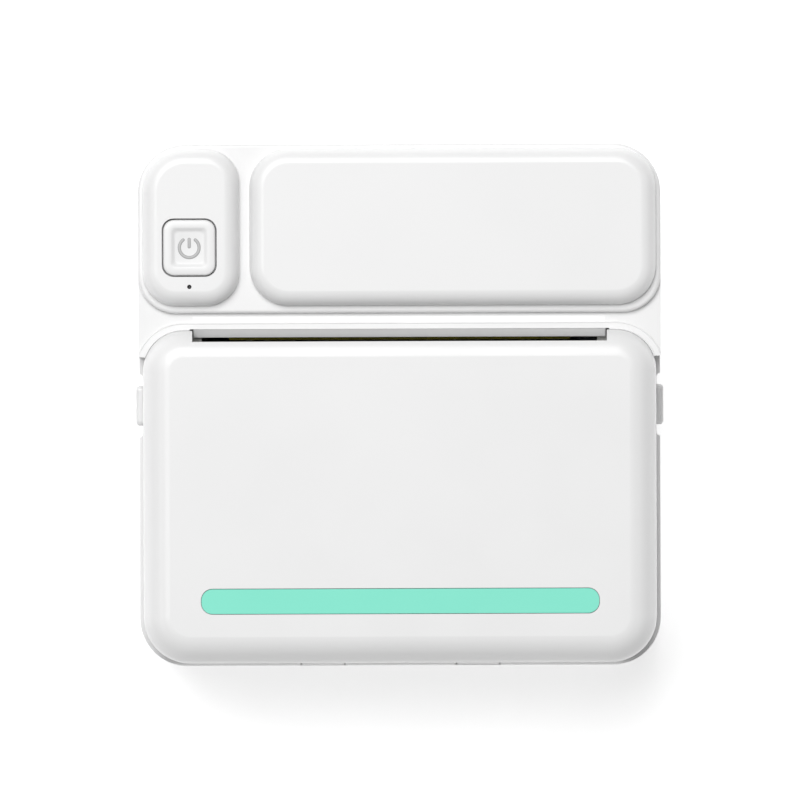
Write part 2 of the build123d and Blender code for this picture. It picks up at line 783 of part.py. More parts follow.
# Paper cover: a rounded lid with the slot edge, a pocket for the strip, hinge tabs and side catches
with BuildPart() as paper_cover:
    with BuildSketch(Plane.XY.offset(cover_low_z)):
        add(cover_outline)
    extrude(amount=face_z - cover_low_z)
    fillet(paper_cover.faces().sort_by(Axis.Z)[-1].edges(), cover_edge_round)
    with BuildSketch(Plane.XY.offset(cover_low_z)):
        add(cover_inside)
    extrude(amount=cover_ceiling_z - cover_low_z, mode=Mode.SUBTRACT)
    cover_ceiling = paper_cover.faces().filter_by(Axis.Z).filter_by_position(
        Axis.Z, cover_ceiling_z - 0.01, cover_ceiling_z + 0.01
    )
    fillet(cover_ceiling.edges(), cover_edge_round - wall)

    # The edge beside the front case stays open below the lip; a rib stiffens it
    with BuildSketch(Plane.XY.offset(cover_low_z)):
        with Locations((0, cover_top_y)):
            Rectangle(2 * cover_skirt_open_half, 2 * wall, align=below_place)
    extrude(amount=cover_lip_z - cover_low_z, mode=Mode.SUBTRACT)
    with BuildSketch(Plane.XY.offset(cover_lip_z)):
        with Locations((0, slot_edge_y)):
            Rectangle(slot_width + 2 * wall, wall, align=below_place)
    extrude(amount=cover_ceiling_z - cover_lip_z)
    with BuildSketch(Plane.XY.offset(cover_low_z)):
        with Locations((0, slot_edge_y)):
            Rectangle(slot_width, wall, align=above_place)
    extrude(amount=face_z - cover_low_z, mode=Mode.SUBTRACT)

    # Pocket for the accent strip
    with BuildSketch(Plane.XY.offset(face_z)):
        with Locations((0, strip_y)):
            RectangleRounded(
                strip_length + 2 * strip_gap, strip_width + 2 * strip_gap, strip_corner + strip_gap
            )
    extrude(amount=-strip_thick, mode=Mode.SUBTRACT)

    # Hinge tabs
    for x in (-hinge_x, hinge_x):
        with BuildSketch(side_plane(x - tab_width / 2, hinge_y, hinge_z)):
            Circle(tab_radius)
            with Locations((cover_bottom_y - hinge_y, 0)):
                Rectangle(wall, hinge_drop + 2 * seam_gap, align=from_corner)
            Circle(pin_radius + running_gap, mode=Mode.SUBTRACT)
        extrude(amount=tab_width)

    # Catches that the release buttons push up
    for side in (-1, 1):
        with BuildSketch(Plane.XZ.offset(-wedge_half)):
            Polygon(
                (side * wedge_x, catch_low_z),
                (side * (cover_inner_x + seam_gap), catch_low_z + cover_inner_x + seam_gap - wedge_x),
                (side * (cover_inner_x + seam_gap), catch_top_z),
                (side * wedge_x, catch_top_z - (cover_inner_x - wedge_x)),
                align=None,
            )
        extrude(amount=2 * wedge_half)

    # Posts that carry the liner
    with BuildSketch(Plane.XY.offset(liner_top_z)):
        with Locations(*liner_posts):
            Circle(liner_post_radius)
            Circle(liner_screw_radius, mode=Mode.SUBTRACT)
    extrude(amount=liner_drop)
finish(paper_cover, "paper_cover")

with BuildPart() as accent_strip:
    with BuildSketch(Plane.XY.offset(face_z)):
        with Locations((0, strip_y)):
            RectangleRounded(strip_length, strip_width, strip_corner)
    extrude(amount=-strip_thick)
finish(accent_strip, "accent_strip")

# Cover liner: a plate with guide ribs and the two ears that carry the roller
with BuildPart() as cover_liner:
    with BuildSketch(Plane.XY.offset(liner_top_z)):
        with Locations((0, liner_mid_y)):
            RectangleRounded(2 * liner_half, liner_top_y - liner_bottom_y, liner_corner)
        with Locations(*liner_posts):
            Circle(liner_screw_radius, mode=Mode.SUBTRACT)
    extrude(amount=-liner_thick)
    for left in (-ear_x - ear_thick, ear_x):
        with BuildSketch(side_plane(left)):
            with Locations((platen_y, platen_z)):
                Circle(ear_radius)
            with Locations((liner_top_y, liner_top_z)):
                Rectangle(ear_root, liner_thick, align=(Align.MAX, Align.MAX))
            make_hull()
            with Locations((platen_y, platen_z)):
                Circle(bush_radius, mode=Mode.SUBTRACT)
        extrude(amount=ear_thick)
    for index in range(-2, 3):
        with BuildSketch(side_plane(index * guide_rib_pitch - guide_rib_thick / 2)):
            Polygon(
                (liner_top_y, liner_top_z - liner_thick),
                (liner_top_y, liner_top_z - liner_thick - guide_rib_height),
                (liner_top_y - guide_rib_height, liner_top_z - liner_thick - guide_rib_height),
                (liner_top_y - 2 * guide_rib_height, liner_top_z - liner_thick),
                align=None,
            )
        extrude(amount=guide_rib_thick)
finish(cover_liner, "cover_liner")

with BuildPart() as liner_screws:
    with BuildSketch(Plane.XY.offset(liner_top_z - liner_thick)):
        with Locations(*liner_posts):
            Circle(2 * liner_screw_radius)
    extrude(amount=-small_screw_head)
    with BuildSketch(Plane.XY.offset(liner_top_z - liner_thick)):
        with Locations(*liner_posts):
            Circle(liner_screw_radius)
    extrude(amount=liner_thick + liner_drop - slide_gap)
finish(liner_screws, "liner_screws")

with BuildPart() as hinge_pins:
    for x in (-hinge_x, hinge_x):
        with BuildSketch(side_plane(x - tab_width / 2 - free_gap - pin_reach, hinge_y, hinge_z)):
            Circle(pin_radius)
        extrude(amount=tab_width + 2 * (free_gap + pin_reach))
finish(hinge_pins, "hinge_pins")

# Platen roller
with BuildPart() as platen_shaft:
    with BuildSketch(side_plane(running_gap - cradle_outer_x, platen_y, platen_z)):
        Circle(journal_radius)
    extrude(amount=cradle_outer_x + gear_x + coarse_face)
    with BuildSketch(side_plane(-platen_length / 2, platen_y, platen_z)):
        Circle(platen_core_radius)
    extrude(amount=platen_length)
finish(platen_shaft, "platen_shaft")

with BuildPart() as platen_rubber:
    with BuildSketch(side_plane(-platen_length / 2, platen_y, platen_z)):
        Circle(platen_radius)
        Circle(platen_core_radius, mode=Mode.SUBTRACT)
    extrude(amount=platen_length)
finish(platen_rubber, "platen_rubber")

with BuildPart() as platen_bushes:
    for side in (-1, 1):
        with BuildSketch(side_plane(side * (ear_x - bush_collar), platen_y, platen_z)):
            Circle(bush_collar_radius)
            Circle(journal_radius + running_gap, mode=Mode.SUBTRACT)
        extrude(amount=side * bush_collar)
        with BuildSketch(side_plane(side * ear_x, platen_y, platen_z)):
            Circle(bush_radius)
            Circle(journal_radius + running_gap, mode=Mode.SUBTRACT)
        extrude(amount=side * (cradle_outer_x - ear_x - slide_gap))
finish(platen_bushes, "platen_bushes")

with BuildPart() as platen_gear:
    with BuildSketch(side_plane(gear_x, platen_y, platen_z)):
        gear_profile(coarse_module, platen_teeth, coarse_turn)
        Circle(journal_radius, mode=Mode.SUBTRACT)
    extrude(amount=coarse_face)
finish(platen_gear, "platen_gear")

# Reduction gear: a small gear and a lightened wheel moulded in one
with BuildPart() as reduction_gear:
    with BuildSketch(side_plane(gear_x, axle_y, axle_z)):
        gear_profile(coarse_module, small_teeth, coarse_turn + 180 + 180 / small_teeth)
    extrude(amount=wheel_x - gear_x)
    with BuildSketch(side_plane(wheel_x, axle_y, axle_z)):
        gear_profile(fine_module, wheel_teeth, motor_bearing)
        with PolarLocations(wheel_hole_ring, 5):
            Circle(wheel_hole_radius, mode=Mode.SUBTRACT)
    extrude(amount=fine_face)
    with BuildSketch(side_plane(gear_x, axle_y, axle_z)):
        Circle(axle_radius + running_gap)
    extrude(amount=2 * wheel_x, mode=Mode.SUBTRACT)
finish(reduction_gear, "reduction_gear")

with BuildPart() as gear_axle:
    with BuildSketch(side_plane(cradle_outer_x, axle_y, axle_z)):
        Circle(axle_radius)
    extrude(amount=wheel_x + fine_face + slide_gap - cradle_outer_x)
    with BuildSketch(side_plane(wheel_x + fine_face + slide_gap, axle_y, axle_z)):
        Circle(1.6 * axle_radius)
    extrude(amount=slide_gap)
finish(gear_axle, "gear_axle")

# Motor with its shaft and pinion, and the steel plate that carries motor and axle
with BuildPart() as stepper_motor:
    with BuildSketch(side_plane(cradle_outer_x - motor_flange, motor_y, motor_z)):
        Circle(motor_radius)
    extrude(amount=motor_flange - motor_length)
    fillet(stepper_motor.faces().sort_by(Axis.X)[0].edges(), motor_flange)
    with BuildSketch(side_plane(cradle_outer_x - motor_flange, motor_y, motor_z)):
        Circle(motor_radius)
        with PolarLocations(motor_ear_reach, 2, start_angle=motor_ear_bearing):
            Circle(motor_ear_radius)
        make_hull()
        with PolarLocations(motor_ear_reach, 2, start_angle=motor_ear_bearing):
            Circle(small_screw_radius, mode=Mode.SUBTRACT)
    extrude(amount=motor_flange)
    with BuildSketch(side_plane(cradle_outer_x - motor_bearing_depth, motor_y, motor_z)):
        Circle(motor_shaft_radius + running_gap)
    extrude(amount=motor_bearing_depth, mode=Mode.SUBTRACT)
    with BuildSketch(Plane.XY.offset(motor_z - motor_radius - motor_plug_drop)):
        with Locations((cradle_outer_x - motor_length, motor_y)):
            Rectangle(motor_length / 2, motor_radius, align=(Align.MIN, Align.CENTER))
    extrude(amount=motor_radius / 2)
finish(stepper_motor, "stepper_motor")

with BuildPart() as motor_shaft:
    with BuildSketch(side_plane(cradle_outer_x - motor_bearing_depth + slide_gap, motor_y, motor_z)):
        Circle(motor_shaft_radius)
    extrude(amount=wheel_x + fine_face + slide_gap - cradle_outer_x + motor_bearing_depth - slide_gap)
finish(motor_shaft, "motor_shaft")

with BuildPart() as motor_pinion:
    with BuildSketch(side_plane(wheel_x - slide_gap, motor_y, motor_z)):
        gear_profile(fine_module, pinion_teeth, motor_bearing + 180 + 180 / pinion_teeth)
        Circle(motor_shaft_radius, mode=Mode.SUBTRACT)
    extrude(amount=fine_face + 2 * slide_gap)
finish(motor_pinion, "motor_pinion")

with BuildPart() as gear_plate:
    with BuildSketch(side_plane(cradle_outer_x)):
        with Locations((motor_y, motor_z)):
            Circle(motor_radius)
            with PolarLocations(motor_ear_reach, 2, start_angle=motor_ear_bearing):
                Circle(motor_ear_radius)
        with Locations(*frame_screw_places):
            Circle(motor_ear_radius)
        make_hull()
        with Locations((motor_y, motor_z)):
            Circle(2 * motor_shaft_radius, mode=Mode.SUBTRACT)
            with PolarLocations(motor_ear_reach, 2, start_angle=motor_ear_bearing):
                Circle(small_screw_radius, mode=Mode.SUBTRACT)
        with Locations((axle_y, axle_z)):
            Circle(axle_radius, mode=Mode.SUBTRACT)
        with Locations(*frame_screw_places):
            Circle(small_screw_radius, mode=Mode.SUBTRACT)
        with Locations((platen_y, platen_z)):
            Circle(journal_radius + 2 * free_gap, mode=Mode.SUBTRACT)
        with Locations((platen_y + slot_reach * lift.X / 2, platen_z + slot_reach * lift.Y / 2)):
            Rectangle(
                slot_reach, 2 * (journal_radius + 2 * free_gap), rotation=lift_angle, mode=Mode.SUBTRACT
            )
    extrude(amount=plate_thick)
finish(gear_plate, "gear_plate")

with BuildPart() as frame_screws:
    with BuildSketch(side_plane(plate_outer_x)):
        with Locations(*frame_screw_places, *motor_screw_places):
            Circle(small_screw_head)
    extrude(amount=small_screw_head_thick)
    with BuildSketch(side_plane(plate_outer_x)):
        with Locations(*frame_screw_places):
            Circle(small_screw_radius)
    extrude(amount=-plate_thick - cradle_thick + slide_gap)
    with BuildSketch(side_plane(plate_outer_x)):
        with Locations(*motor_screw_places):
            Circle(small_screw_radius)
    extrude(amount=-plate_thick - motor_flange)
    with BuildSketch(side_plane(-cradle_outer_x)):
        with Locations(*frame_screw_places):
            Circle(small_screw_head)
    extrude(amount=-small_screw_head_thick)
    with BuildSketch(side_plane(-cradle_outer_x)):
        with Locations(*frame_screw_places):
            Circle(small_screw_radius)
    extrude(amount=cradle_thick - slide_gap)
finish(frame_screws, "frame_screws")

# Print head: ceramic strip, heatsink that tilts on its lugs, springs and bracket
with BuildPart() as print_strip:
    with BuildSketch(side_plane(-head_half)):
        with Locations((head_y, head_bottom_z)):
            Rectangle(ceramic_thick, head_top_z - head_bottom_z, align=from_corner)
    extrude(amount=2 * head_half)
    chamfer(print_strip.faces().sort_by(Axis.Y)[0].edges().filter_by(Axis.X), ceramic_thick / 2)
finish(print_strip, "print_strip")

with BuildPart() as head_heatsink:
    with BuildSketch(side_plane(-head_half)):
        with Locations((heatsink_y, head_bottom_z)):
            Rectangle(heatsink_thick, head_top_z - head_bottom_z, align=from_corner)
        with Locations((heatsink_back_y, head_bottom_z), (heatsink_back_y, head_top_z - heatsink_thick / 2)):
            Rectangle(heatsink_thick / 2, heatsink_thick / 2, align=from_corner)
    extrude(amount=2 * head_half)
    for side in (-1, 1):
        with BuildSketch(side_plane(side * head_half, head_lug_y, head_lug_z)):
            Circle(head_lug_radius)
        extrude(amount=side * (cradle_outer_x - slide_gap - head_half))
finish(head_heatsink, "head_heatsink")

with BuildPart() as head_bracket:
    with BuildSketch(Plane.XY.offset(bracket_bottom_z)):
        with Locations((0, bracket_y)):
            Rectangle(2 * cradle_x, bracket_thick, align=above_place)
        with Locations((-cradle_x, bracket_y)):
            Rectangle(bracket_thick, bracket_ear, align=(Align.MIN, Align.MAX))
        with Locations((cradle_x, bracket_y)):
            Rectangle(bracket_thick, bracket_ear, align=(Align.MAX, Align.MAX))
    extrude(amount=cradle_top_z - bracket_bottom_z)
    with BuildSketch(Plane(origin=(0, bracket_y, bracket_mid_z), x_dir=(1, 0, 0), z_dir=(0, -1, 0))):
        with Locations((-head_spring_x / 2, 0), (head_spring_x / 2, 0)):
            SlotOverall(head_spring_x / 2, spring_radius)
    extrude(amount=2 * bracket_thick, both=True, mode=Mode.SUBTRACT)
finish(head_bracket, "head_bracket")

for name, x in (("left_head_spring", -head_spring_x), ("right_head_spring", head_spring_x)):
    finish(coil_spring((x, heatsink_back_y, head_spring_z), (0, 1, 0), head_spring_length), name)

# Tear bar: a thin strip with a row of teeth along the slot
with BuildPart() as tear_bar:
    with BuildSketch(Plane.XY.offset(ceiling_z)):
        teeth_count = round(tear_width / tear_pitch)
        teeth_edge = []
        for index in range(teeth_count):
            teeth_edge.append((index * tear_pitch - tear_width / 2, apron_y + tear_depth))
            teeth_edge.append(((index + 0.5) * tear_pitch - tear_width / 2, apron_y))
        Polygon(
            *teeth_edge,
            (tear_width / 2, apron_y + tear_depth),
            (tear_width / 2, tear_bar_y),
            (-tear_width / 2, tear_bar_y),
            align=None,
        )
    extrude(amount=-tear_thick)
finish(tear_bar, "tear_bar")

# Release buttons with flange, wedge and spring spigot
for name, side in (("left_release_button", -1), ("right_release_button", 1)):
    with BuildPart() as release_button:
        with BuildSketch(side_plane(side * (flange_x - flange_thick), 0, button_z)):
            RectangleRounded(2 * button_half, 2 * button_depth_half, button_tip_round)
        extrude(amount=side * (button_tip_x - flange_x + flange_thick))
        outermost = release_button.faces().sort_by(Axis.X)[-1 if side > 0 else 0]
        fillet(outermost.edges(), button_tip_round - slide_gap)
        with BuildSketch(side_plane(side * (flange_x - flange_thick), 0, button_z)):
            RectangleRounded(
                2 * (button_half + flange_margin), 2 * (button_depth_half + flange_margin), button_tip_round
            )
        extrude(amount=side * flange_thick)
        with BuildSketch(Plane.XZ.offset(-wedge_half - free_gap)):
            with Locations((side * (flange_x - flange_thick), wedge_low_z)):
                Rectangle(
                    flange_thick,
                    wedge_top_z,
                    align=(Align.MIN if side > 0 else Align.MAX, Align.MIN),
                )
        extrude(amount=2 * (wedge_half + free_gap), mode=Mode.SUBTRACT)
        with BuildSketch(Plane.XZ.offset(-wedge_half)):
            Polygon(
                (side * wedge_x, wedge_low_z),
                (side * flange_x, wedge_low_z),
                (side * flange_x, wedge_top_z),
                (side * wedge_x, wedge_top_z - flange_thick - wedge_reach),
                align=None,
            )
        extrude(amount=2 * wedge_half)
        with BuildSketch(side_plane(side * (flange_x - flange_thick), 0, button_spring_z)):
            Circle(spring_radius - 2 * spring_wire_radius)
        extrude(amount=-side * flange_thick)
    finish(release_button, name)

for name, side in (("left_button_spring", -1), ("right_button_spring", 1)):
    finish(
        coil_spring(
            (side * spring_seat_x, 0, button_spring_z), (side, 0, 0), flange_x - flange_thick - spring_seat_x
        ),
        name,
    )

# Power key, its switch and board, and the indicator
with BuildPart() as power_key:
    with BuildSketch(Plane.XY.offset(face_z)):
        add(key_outline)
    extrude(amount=key_flange_z - face_z)
    fillet(power_key.faces().sort_by(Axis.Z)[-1].edges(), key_edge_round)
    with BuildSketch(Plane.XY.offset(face_z)):
        add(grown(key_outline, -key_dish_inset))
    extrude(amount=-key_dish_depth, taper=key_dish_slope, mode=Mode.SUBTRACT)
    with BuildSketch(Plane.XY.offset(key_flange_z)):
        add(grown(key_outline, key_flange_margin))
    extrude(amount=key_flange)
    with BuildSketch(Plane.XY.offset(key_flange_z)):
        with Locations((key_x, key_y)):
            Circle(key_stem_radius)
    extrude(amount=key_stem_bottom_z - key_flange_z)
finish(power_key, "power_key")

with BuildPart() as switch_plunger:
    with BuildSketch(Plane.XY.offset(key_stem_bottom_z)):
        with Locations((key_x, key_y)):
            Circle(plunger_radius)
    extrude(amount=-plunger_height)
finish(switch_plunger, "switch_plunger")

with BuildPart() as key_switch:
    with BuildSketch(Plane.XY.offset(switch_top_z)):
        with Locations((key_x, key_y)):
            RectangleRounded(switch_size, switch_size, switch_rim)
    extrude(amount=-switch_height)
    with BuildSketch(Plane.XY.offset(switch_top_z)):
        with Locations((key_x, key_y)):
            Circle(plunger_radius + running_gap)
    well_depth = switch_top_z - key_stem_bottom_z + plunger_height + key_travel + slide_gap
    extrude(amount=-well_depth, mode=Mode.SUBTRACT)
finish(key_switch, "key_switch")

with BuildPart() as key_board:
    with BuildSketch(Plane.XY.offset(key_board_z)):
        with Locations((key_x, key_board_bottom_y)):
            Rectangle(2 * key_board_half, key_board_top_y - key_board_bottom_y, align=above_place)
        with Locations((-post_x, post_y)):
            Circle(post_radius + free_gap, mode=Mode.SUBTRACT)
        with Locations(*key_post_places):
            Circle(board_screw_radius, mode=Mode.SUBTRACT)
    extrude(amount=board_thick)
finish(key_board, "key_board")

with BuildPart() as indicator_lamp:
    with BuildSketch(Plane.XY.offset(key_board_z + board_thick)):
        with Locations((key_x, lamp_y)):
            Rectangle(3 * lamp_height, 2 * lamp_height)
    extrude(amount=lamp_height)
finish(indicator_lamp, "indicator_lamp")

with BuildPart() as light_pipe:
    with BuildSketch(Plane.XY.offset(pod_ceiling_z)):
        with Locations((key_x, lamp_y)):
            Circle(pipe_radius)
    extrude(amount=key_board_z + board_thick + lamp_height - pod_ceiling_z)
finish(light_pipe, "light_pipe")

# Main board with its parts, socket, battery and the head's flat cable
with BuildPart() as main_board:
    with BuildSketch(Plane.XY.offset(board_z)):
        with Locations((board_mid_x, board_mid_y)):
            RectangleRounded(board_right_x - board_left_x, board_top_y - board_bottom_y, board_post_radius)
        with Locations(*board_posts):
            Circle(board_screw_radius, mode=Mode.SUBTRACT)
    extrude(amount=board_thick)
finish(main_board, "main_board")

with BuildPart() as board_parts:
    for x, y, length, width, height in (processor, memory_chip, power_coil, motor_driver, battery_connector):
        with BuildSketch(Plane.XY.offset(board_z + board_thick)):
            with Locations((board_mid_x + x, board_mid_y + y)):
                Rectangle(length, width)
        extrude(amount=height)
    with BuildSketch(Plane.XY.offset(board_z + board_thick)):
        with Locations((0, connector_front_y)):
            Rectangle(flex_width + connector_depth, connector_depth, align=above_place)
    extrude(amount=connector_height)
finish(board_parts, "board_parts")

with BuildPart() as board_screws:
    with BuildSketch(Plane.XY.offset(board_z + board_thick)):
        with Locations(*board_posts):
            Circle(2 * board_screw_radius)
    extrude(amount=board_screw_radius)
    with BuildSketch(Plane.XY.offset(board_z + board_thick)):
        with Locations(*board_posts):
            Circle(board_screw_radius)
    extrude(amount=slide_gap - board_thick - board_post_depth)
    with BuildSketch(Plane.XY.offset(key_board_z)):
        with Locations(*key_post_places):
            Circle(2 * board_screw_radius)
    extrude(amount=-board_screw_radius)
    with BuildSketch(Plane.XY.offset(key_board_z)):
        with Locations(*key_post_places):
            Circle(board_screw_radius)
    extrude(amount=ceiling_z - key_board_z - slide_gap)
finish(board_screws, "board_screws")

with BuildPart() as usb_socket:
    with BuildSketch(Plane(origin=(usb_x, usb_mouth_y, usb_z), x_dir=(1, 0, 0), z_dir=(0, -1, 0))):
        RectangleRounded(usb_width, usb_height, usb_height / 2 - running_gap)
    extrude(amount=usb_depth)
    with BuildSketch(Plane(origin=(usb_x, usb_mouth_y, usb_z), x_dir=(1, 0, 0), z_dir=(0, -1, 0))):
        RectangleRounded(
            usb_width - 2 * usb_wall, usb_height - 2 * usb_wall, usb_height / 2 - usb_wall - running_gap
        )
    extrude(amount=usb_depth - usb_tongue_root, mode=Mode.SUBTRACT)
    tongue_tip = (usb_x, usb_mouth_y - usb_tongue_root, usb_z)
    with BuildSketch(Plane(origin=tongue_tip, x_dir=(1, 0, 0), z_dir=(0, -1, 0))):
        Rectangle(usb_tongue_width, usb_tongue_thick)
    extrude(amount=usb_depth - usb_tongue_root)
finish(usb_socket, "usb_socket")

with BuildPart() as battery_tape_pad:
    with BuildSketch(Plane.XY.offset(floor_z)):
        with Locations((board_mid_x, board_mid_y)):
            Rectangle(0.8 * battery_length, 0.8 * battery_width)
    extrude(amount=battery_tape)
finish(battery_tape_pad, "battery_tape_pad")

with BuildPart() as battery:
    with BuildSketch(Plane.XY.offset(floor_z + battery_tape)):
        with Locations((board_mid_x, board_mid_y)):
            RectangleRounded(battery_length, battery_width, battery_corner)
    extrude(amount=battery_thick)
    fillet(battery.faces().filter_by(Axis.Z).edges(), battery_corner / 2)
finish(battery, "battery")

with BuildPart() as head_cable:
    with BuildSketch(side_plane(-flex_width / 2)):
        with BuildLine():
            FilletPolyline(
                (head_y + ceramic_thick / 2, head_bottom_z),
                (head_y + ceramic_thick / 2, flex_z),
                (connector_front_y, flex_z),
                radius=flex_bend,
            )
        trace(line_width=flex_thick)
    extrude(amount=flex_width)
finish(head_cable, "head_cable")

with BuildPart() as paper_sensor:
    with BuildSketch(Plane.XY.offset(deck_top_z)):
        with Locations((sensor_x, bulkhead_y)):
            Rectangle(sensor_length, sensor_width, align=below_place)
    extrude(amount=sensor_height)
finish(paper_sensor, "paper_sensor")

# Case screws from the back, and the feet
with BuildPart() as case_screws:
    with BuildSketch(Plane.XY.offset(foot_height + screw_sink)):
        with Locations(*post_places):
            Circle(screw_head_radius)
    extrude(amount=-screw_head_height)
    with BuildSketch(Plane.XY.offset(foot_height + screw_sink)):
        with Locations(*post_places):
            Circle(screw_radius)
    extrude(amount=post_joint_z + screw_reach - foot_height - screw_sink)
finish(case_screws, "case_screws")

with BuildPart() as rubber_feet:
    with BuildSketch():
        with Locations(*foot_places):
            Circle(foot_radius)
    extrude(amount=foot_height + foot_sink)
    chamfer(rubber_feet.faces().sort_by(Axis.Z)[:4].edges(), foot_sink)
finish(rubber_feet, "rubber_feet")
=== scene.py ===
"""Looks for the portable label printer: finishes, small fittings, light and camera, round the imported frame.

Everything is in metres, in the frame's own place: +X right, +Y towards the pods, +Z out of the front face.
"""
import json
import math

import bmesh
import bpy
from bpy.props import FloatProperty, FloatVectorProperty, IntProperty, PointerProperty
from mathutils import Matrix, Vector


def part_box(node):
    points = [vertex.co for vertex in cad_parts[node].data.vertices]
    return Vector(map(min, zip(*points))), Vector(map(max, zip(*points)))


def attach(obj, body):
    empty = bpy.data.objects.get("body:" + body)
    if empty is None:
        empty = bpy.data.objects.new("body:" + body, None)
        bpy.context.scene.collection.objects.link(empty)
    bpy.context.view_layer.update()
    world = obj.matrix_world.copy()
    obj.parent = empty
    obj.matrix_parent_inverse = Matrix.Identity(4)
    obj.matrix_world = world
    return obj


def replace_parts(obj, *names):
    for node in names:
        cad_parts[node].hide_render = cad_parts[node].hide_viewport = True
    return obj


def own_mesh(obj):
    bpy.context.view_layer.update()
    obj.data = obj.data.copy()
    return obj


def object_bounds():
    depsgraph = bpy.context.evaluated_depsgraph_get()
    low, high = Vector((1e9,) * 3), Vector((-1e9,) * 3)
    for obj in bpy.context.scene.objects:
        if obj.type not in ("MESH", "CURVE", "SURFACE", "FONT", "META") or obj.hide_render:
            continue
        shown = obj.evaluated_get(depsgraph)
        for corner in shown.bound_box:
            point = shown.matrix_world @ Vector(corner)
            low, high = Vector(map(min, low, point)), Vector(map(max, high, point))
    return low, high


bl_info = {
    "name": "Label printer looks",
    "version": (1, 0, 0),
    "blender": (4, 5, 0),
    "location": "3D View > Sidebar > Label printer",
    "description": "Finishes, small fittings, light and camera for a portable label printer",
    "category": "Object",
}

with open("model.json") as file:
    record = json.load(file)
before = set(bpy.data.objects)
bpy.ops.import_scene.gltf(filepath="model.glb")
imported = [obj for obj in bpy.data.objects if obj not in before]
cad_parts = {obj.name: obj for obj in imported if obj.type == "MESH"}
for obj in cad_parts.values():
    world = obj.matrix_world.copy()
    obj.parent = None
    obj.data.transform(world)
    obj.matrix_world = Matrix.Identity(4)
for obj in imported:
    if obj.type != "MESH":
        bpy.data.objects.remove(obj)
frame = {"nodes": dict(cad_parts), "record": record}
cad_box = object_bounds()

MM = 0.001


def linear(code):
    """The linear colour, with alpha, of an sRGB hex value."""
    channels = [int(code[i : i + 2], 16) / 255 for i in (1, 3, 5)]
    return [c / 12.92 if c <= 0.04045 else ((c + 0.055) / 1.055) ** 2.4 for c in channels] + [1.0]


def colour_property(name, code, text):
    return FloatVectorProperty(
        name=name, description=text, subtype="COLOR", size=4, min=0, max=1, default=linear(code)
    )


def length_property(name, millimetres, text):
    return FloatProperty(name=name, description=text, unit="LENGTH", precision=5, default=millimetres * MM)


def angle_property(name, degrees, text):
    return FloatProperty(name=name, description=text, unit="ROTATION", default=math.radians(degrees))


class CaseFinish(bpy.types.PropertyGroup):
    """Colours and gloss of the outside."""

    shell: colour_property("Shell", "#EBEBEB", "White plastic of the cases, the cover and the keys")
    shell_roughness: FloatProperty(
        name="Shell roughness", description="Gloss of the white plastic", default=0.3, min=0.0, max=1.0
    )
    strip: colour_property("Strip", "#7FE6CD", "Accent strip in the cover")
    # The symbol's edge colour is painted shade on the rounded edges of its strokes; the middle colour is the
    # ink's own grey
    symbol: colour_property("Symbol", "#A6A6A6", "Edge of the power symbol's strokes")
    symbol_middle: colour_property("Symbol middle", "#BEBEBE", "Middle of the power symbol's strokes")
    foot: colour_property("Foot", "#2A2A2B", "Rubber feet")


class InnerFinish(bpy.types.PropertyGroup):
    """Colours of what shows when the cover is open."""

    frame: colour_property("Inner frame", "#D9D9D6", "Moulding with the paper bay")
    liner: colour_property("Liner", "#D4D4D1", "Inner moulding of the cover")
    roller: colour_property("Roller", "#1F2022", "Rubber of the platen roller")
    gear: colour_property("Gear", "#E9E6DC", "Acetal of the gears and bushes")
    head: colour_property("Print strip", "#8E8630", "Glazed strip of the print head")


class KeySizes(bpy.types.PropertyGroup):
    """Dished power key and its symbol."""

    width: length_property("Width", 8.24, "Key, across")
    length: length_property("Length", 8.79, "Key, along")
    corner: length_property("Corner", 1.7, "Corner radius seen from the front")
    edge: length_property("Edge", 0.3, "Rounding of the rim's outer edge")
    rim: length_property("Rim", 0.85, "Flat rim round the dish")
    slope: length_property("Slope", 0.8, "Width of the dish's soft slope")
    depth: length_property("Depth", 0.34, "Depth of the dish")
    flange: length_property("Flange", 0.8, "How far the hidden flange reaches beyond the key")
    stem: length_property("Stem", 1.6, "Length of the stem below the flange")
    flange_thick: length_property("Flange thickness", 0.9, "Thickness of the flange")
    radius: length_property("Ring radius", 1.56, "Middle of the ring's stroke")
    stroke: length_property("Stroke", 0.52, "Width of the ring and the bar")
    relief: length_property("Relief", 0.03, "How far the strokes stand out of the dish")
    opening: angle_property("Opening", 38, "Half of the ring's gap")
    bar_top: length_property("Bar top", 1.32, "Upper end of the bar, from the ring's middle")
    bar_bottom: length_property("Bar bottom", 0.14, "Lower end of the bar, from the ring's middle")


class LipSizes(bpy.types.PropertyGroup):
    """Beads of the lip that follows the cover's top corners."""

    corner: length_property("Corner", 6.4, "Corner radius of the cover, seen from the front")
    below_face: length_property("Below the face", 3.6, "The lip's top, below the front face")
    slot_half: length_property("Half slot", 33.3, "From the middle to the end of the paper slot")
    spacing: length_property("Spacing", 1.0, "From the inner bead to the outer one")
    half_width: length_property("Half width", 0.13, "Half of a bead's width")
    height: length_property("Height", 0.1, "How far a bead stands out")


class FixingSizes(bpy.types.PropertyGroup):
    """Screws and springs."""

    pitch: length_property("Thread pitch", 0.8, "Distance between the threads of the plastic screws")
    thread_depth: length_property("Thread depth", 0.12, "How far the threads stand out of the shank")
    wire: length_property("Spring wire", 0.22, "Radius of the spring wire")
    turns: IntProperty(name="Spring turns", description="Free coils of each spring", default=4, min=2)
    button_travel: length_property("Button travel", 1.0, "How far a release button goes in")


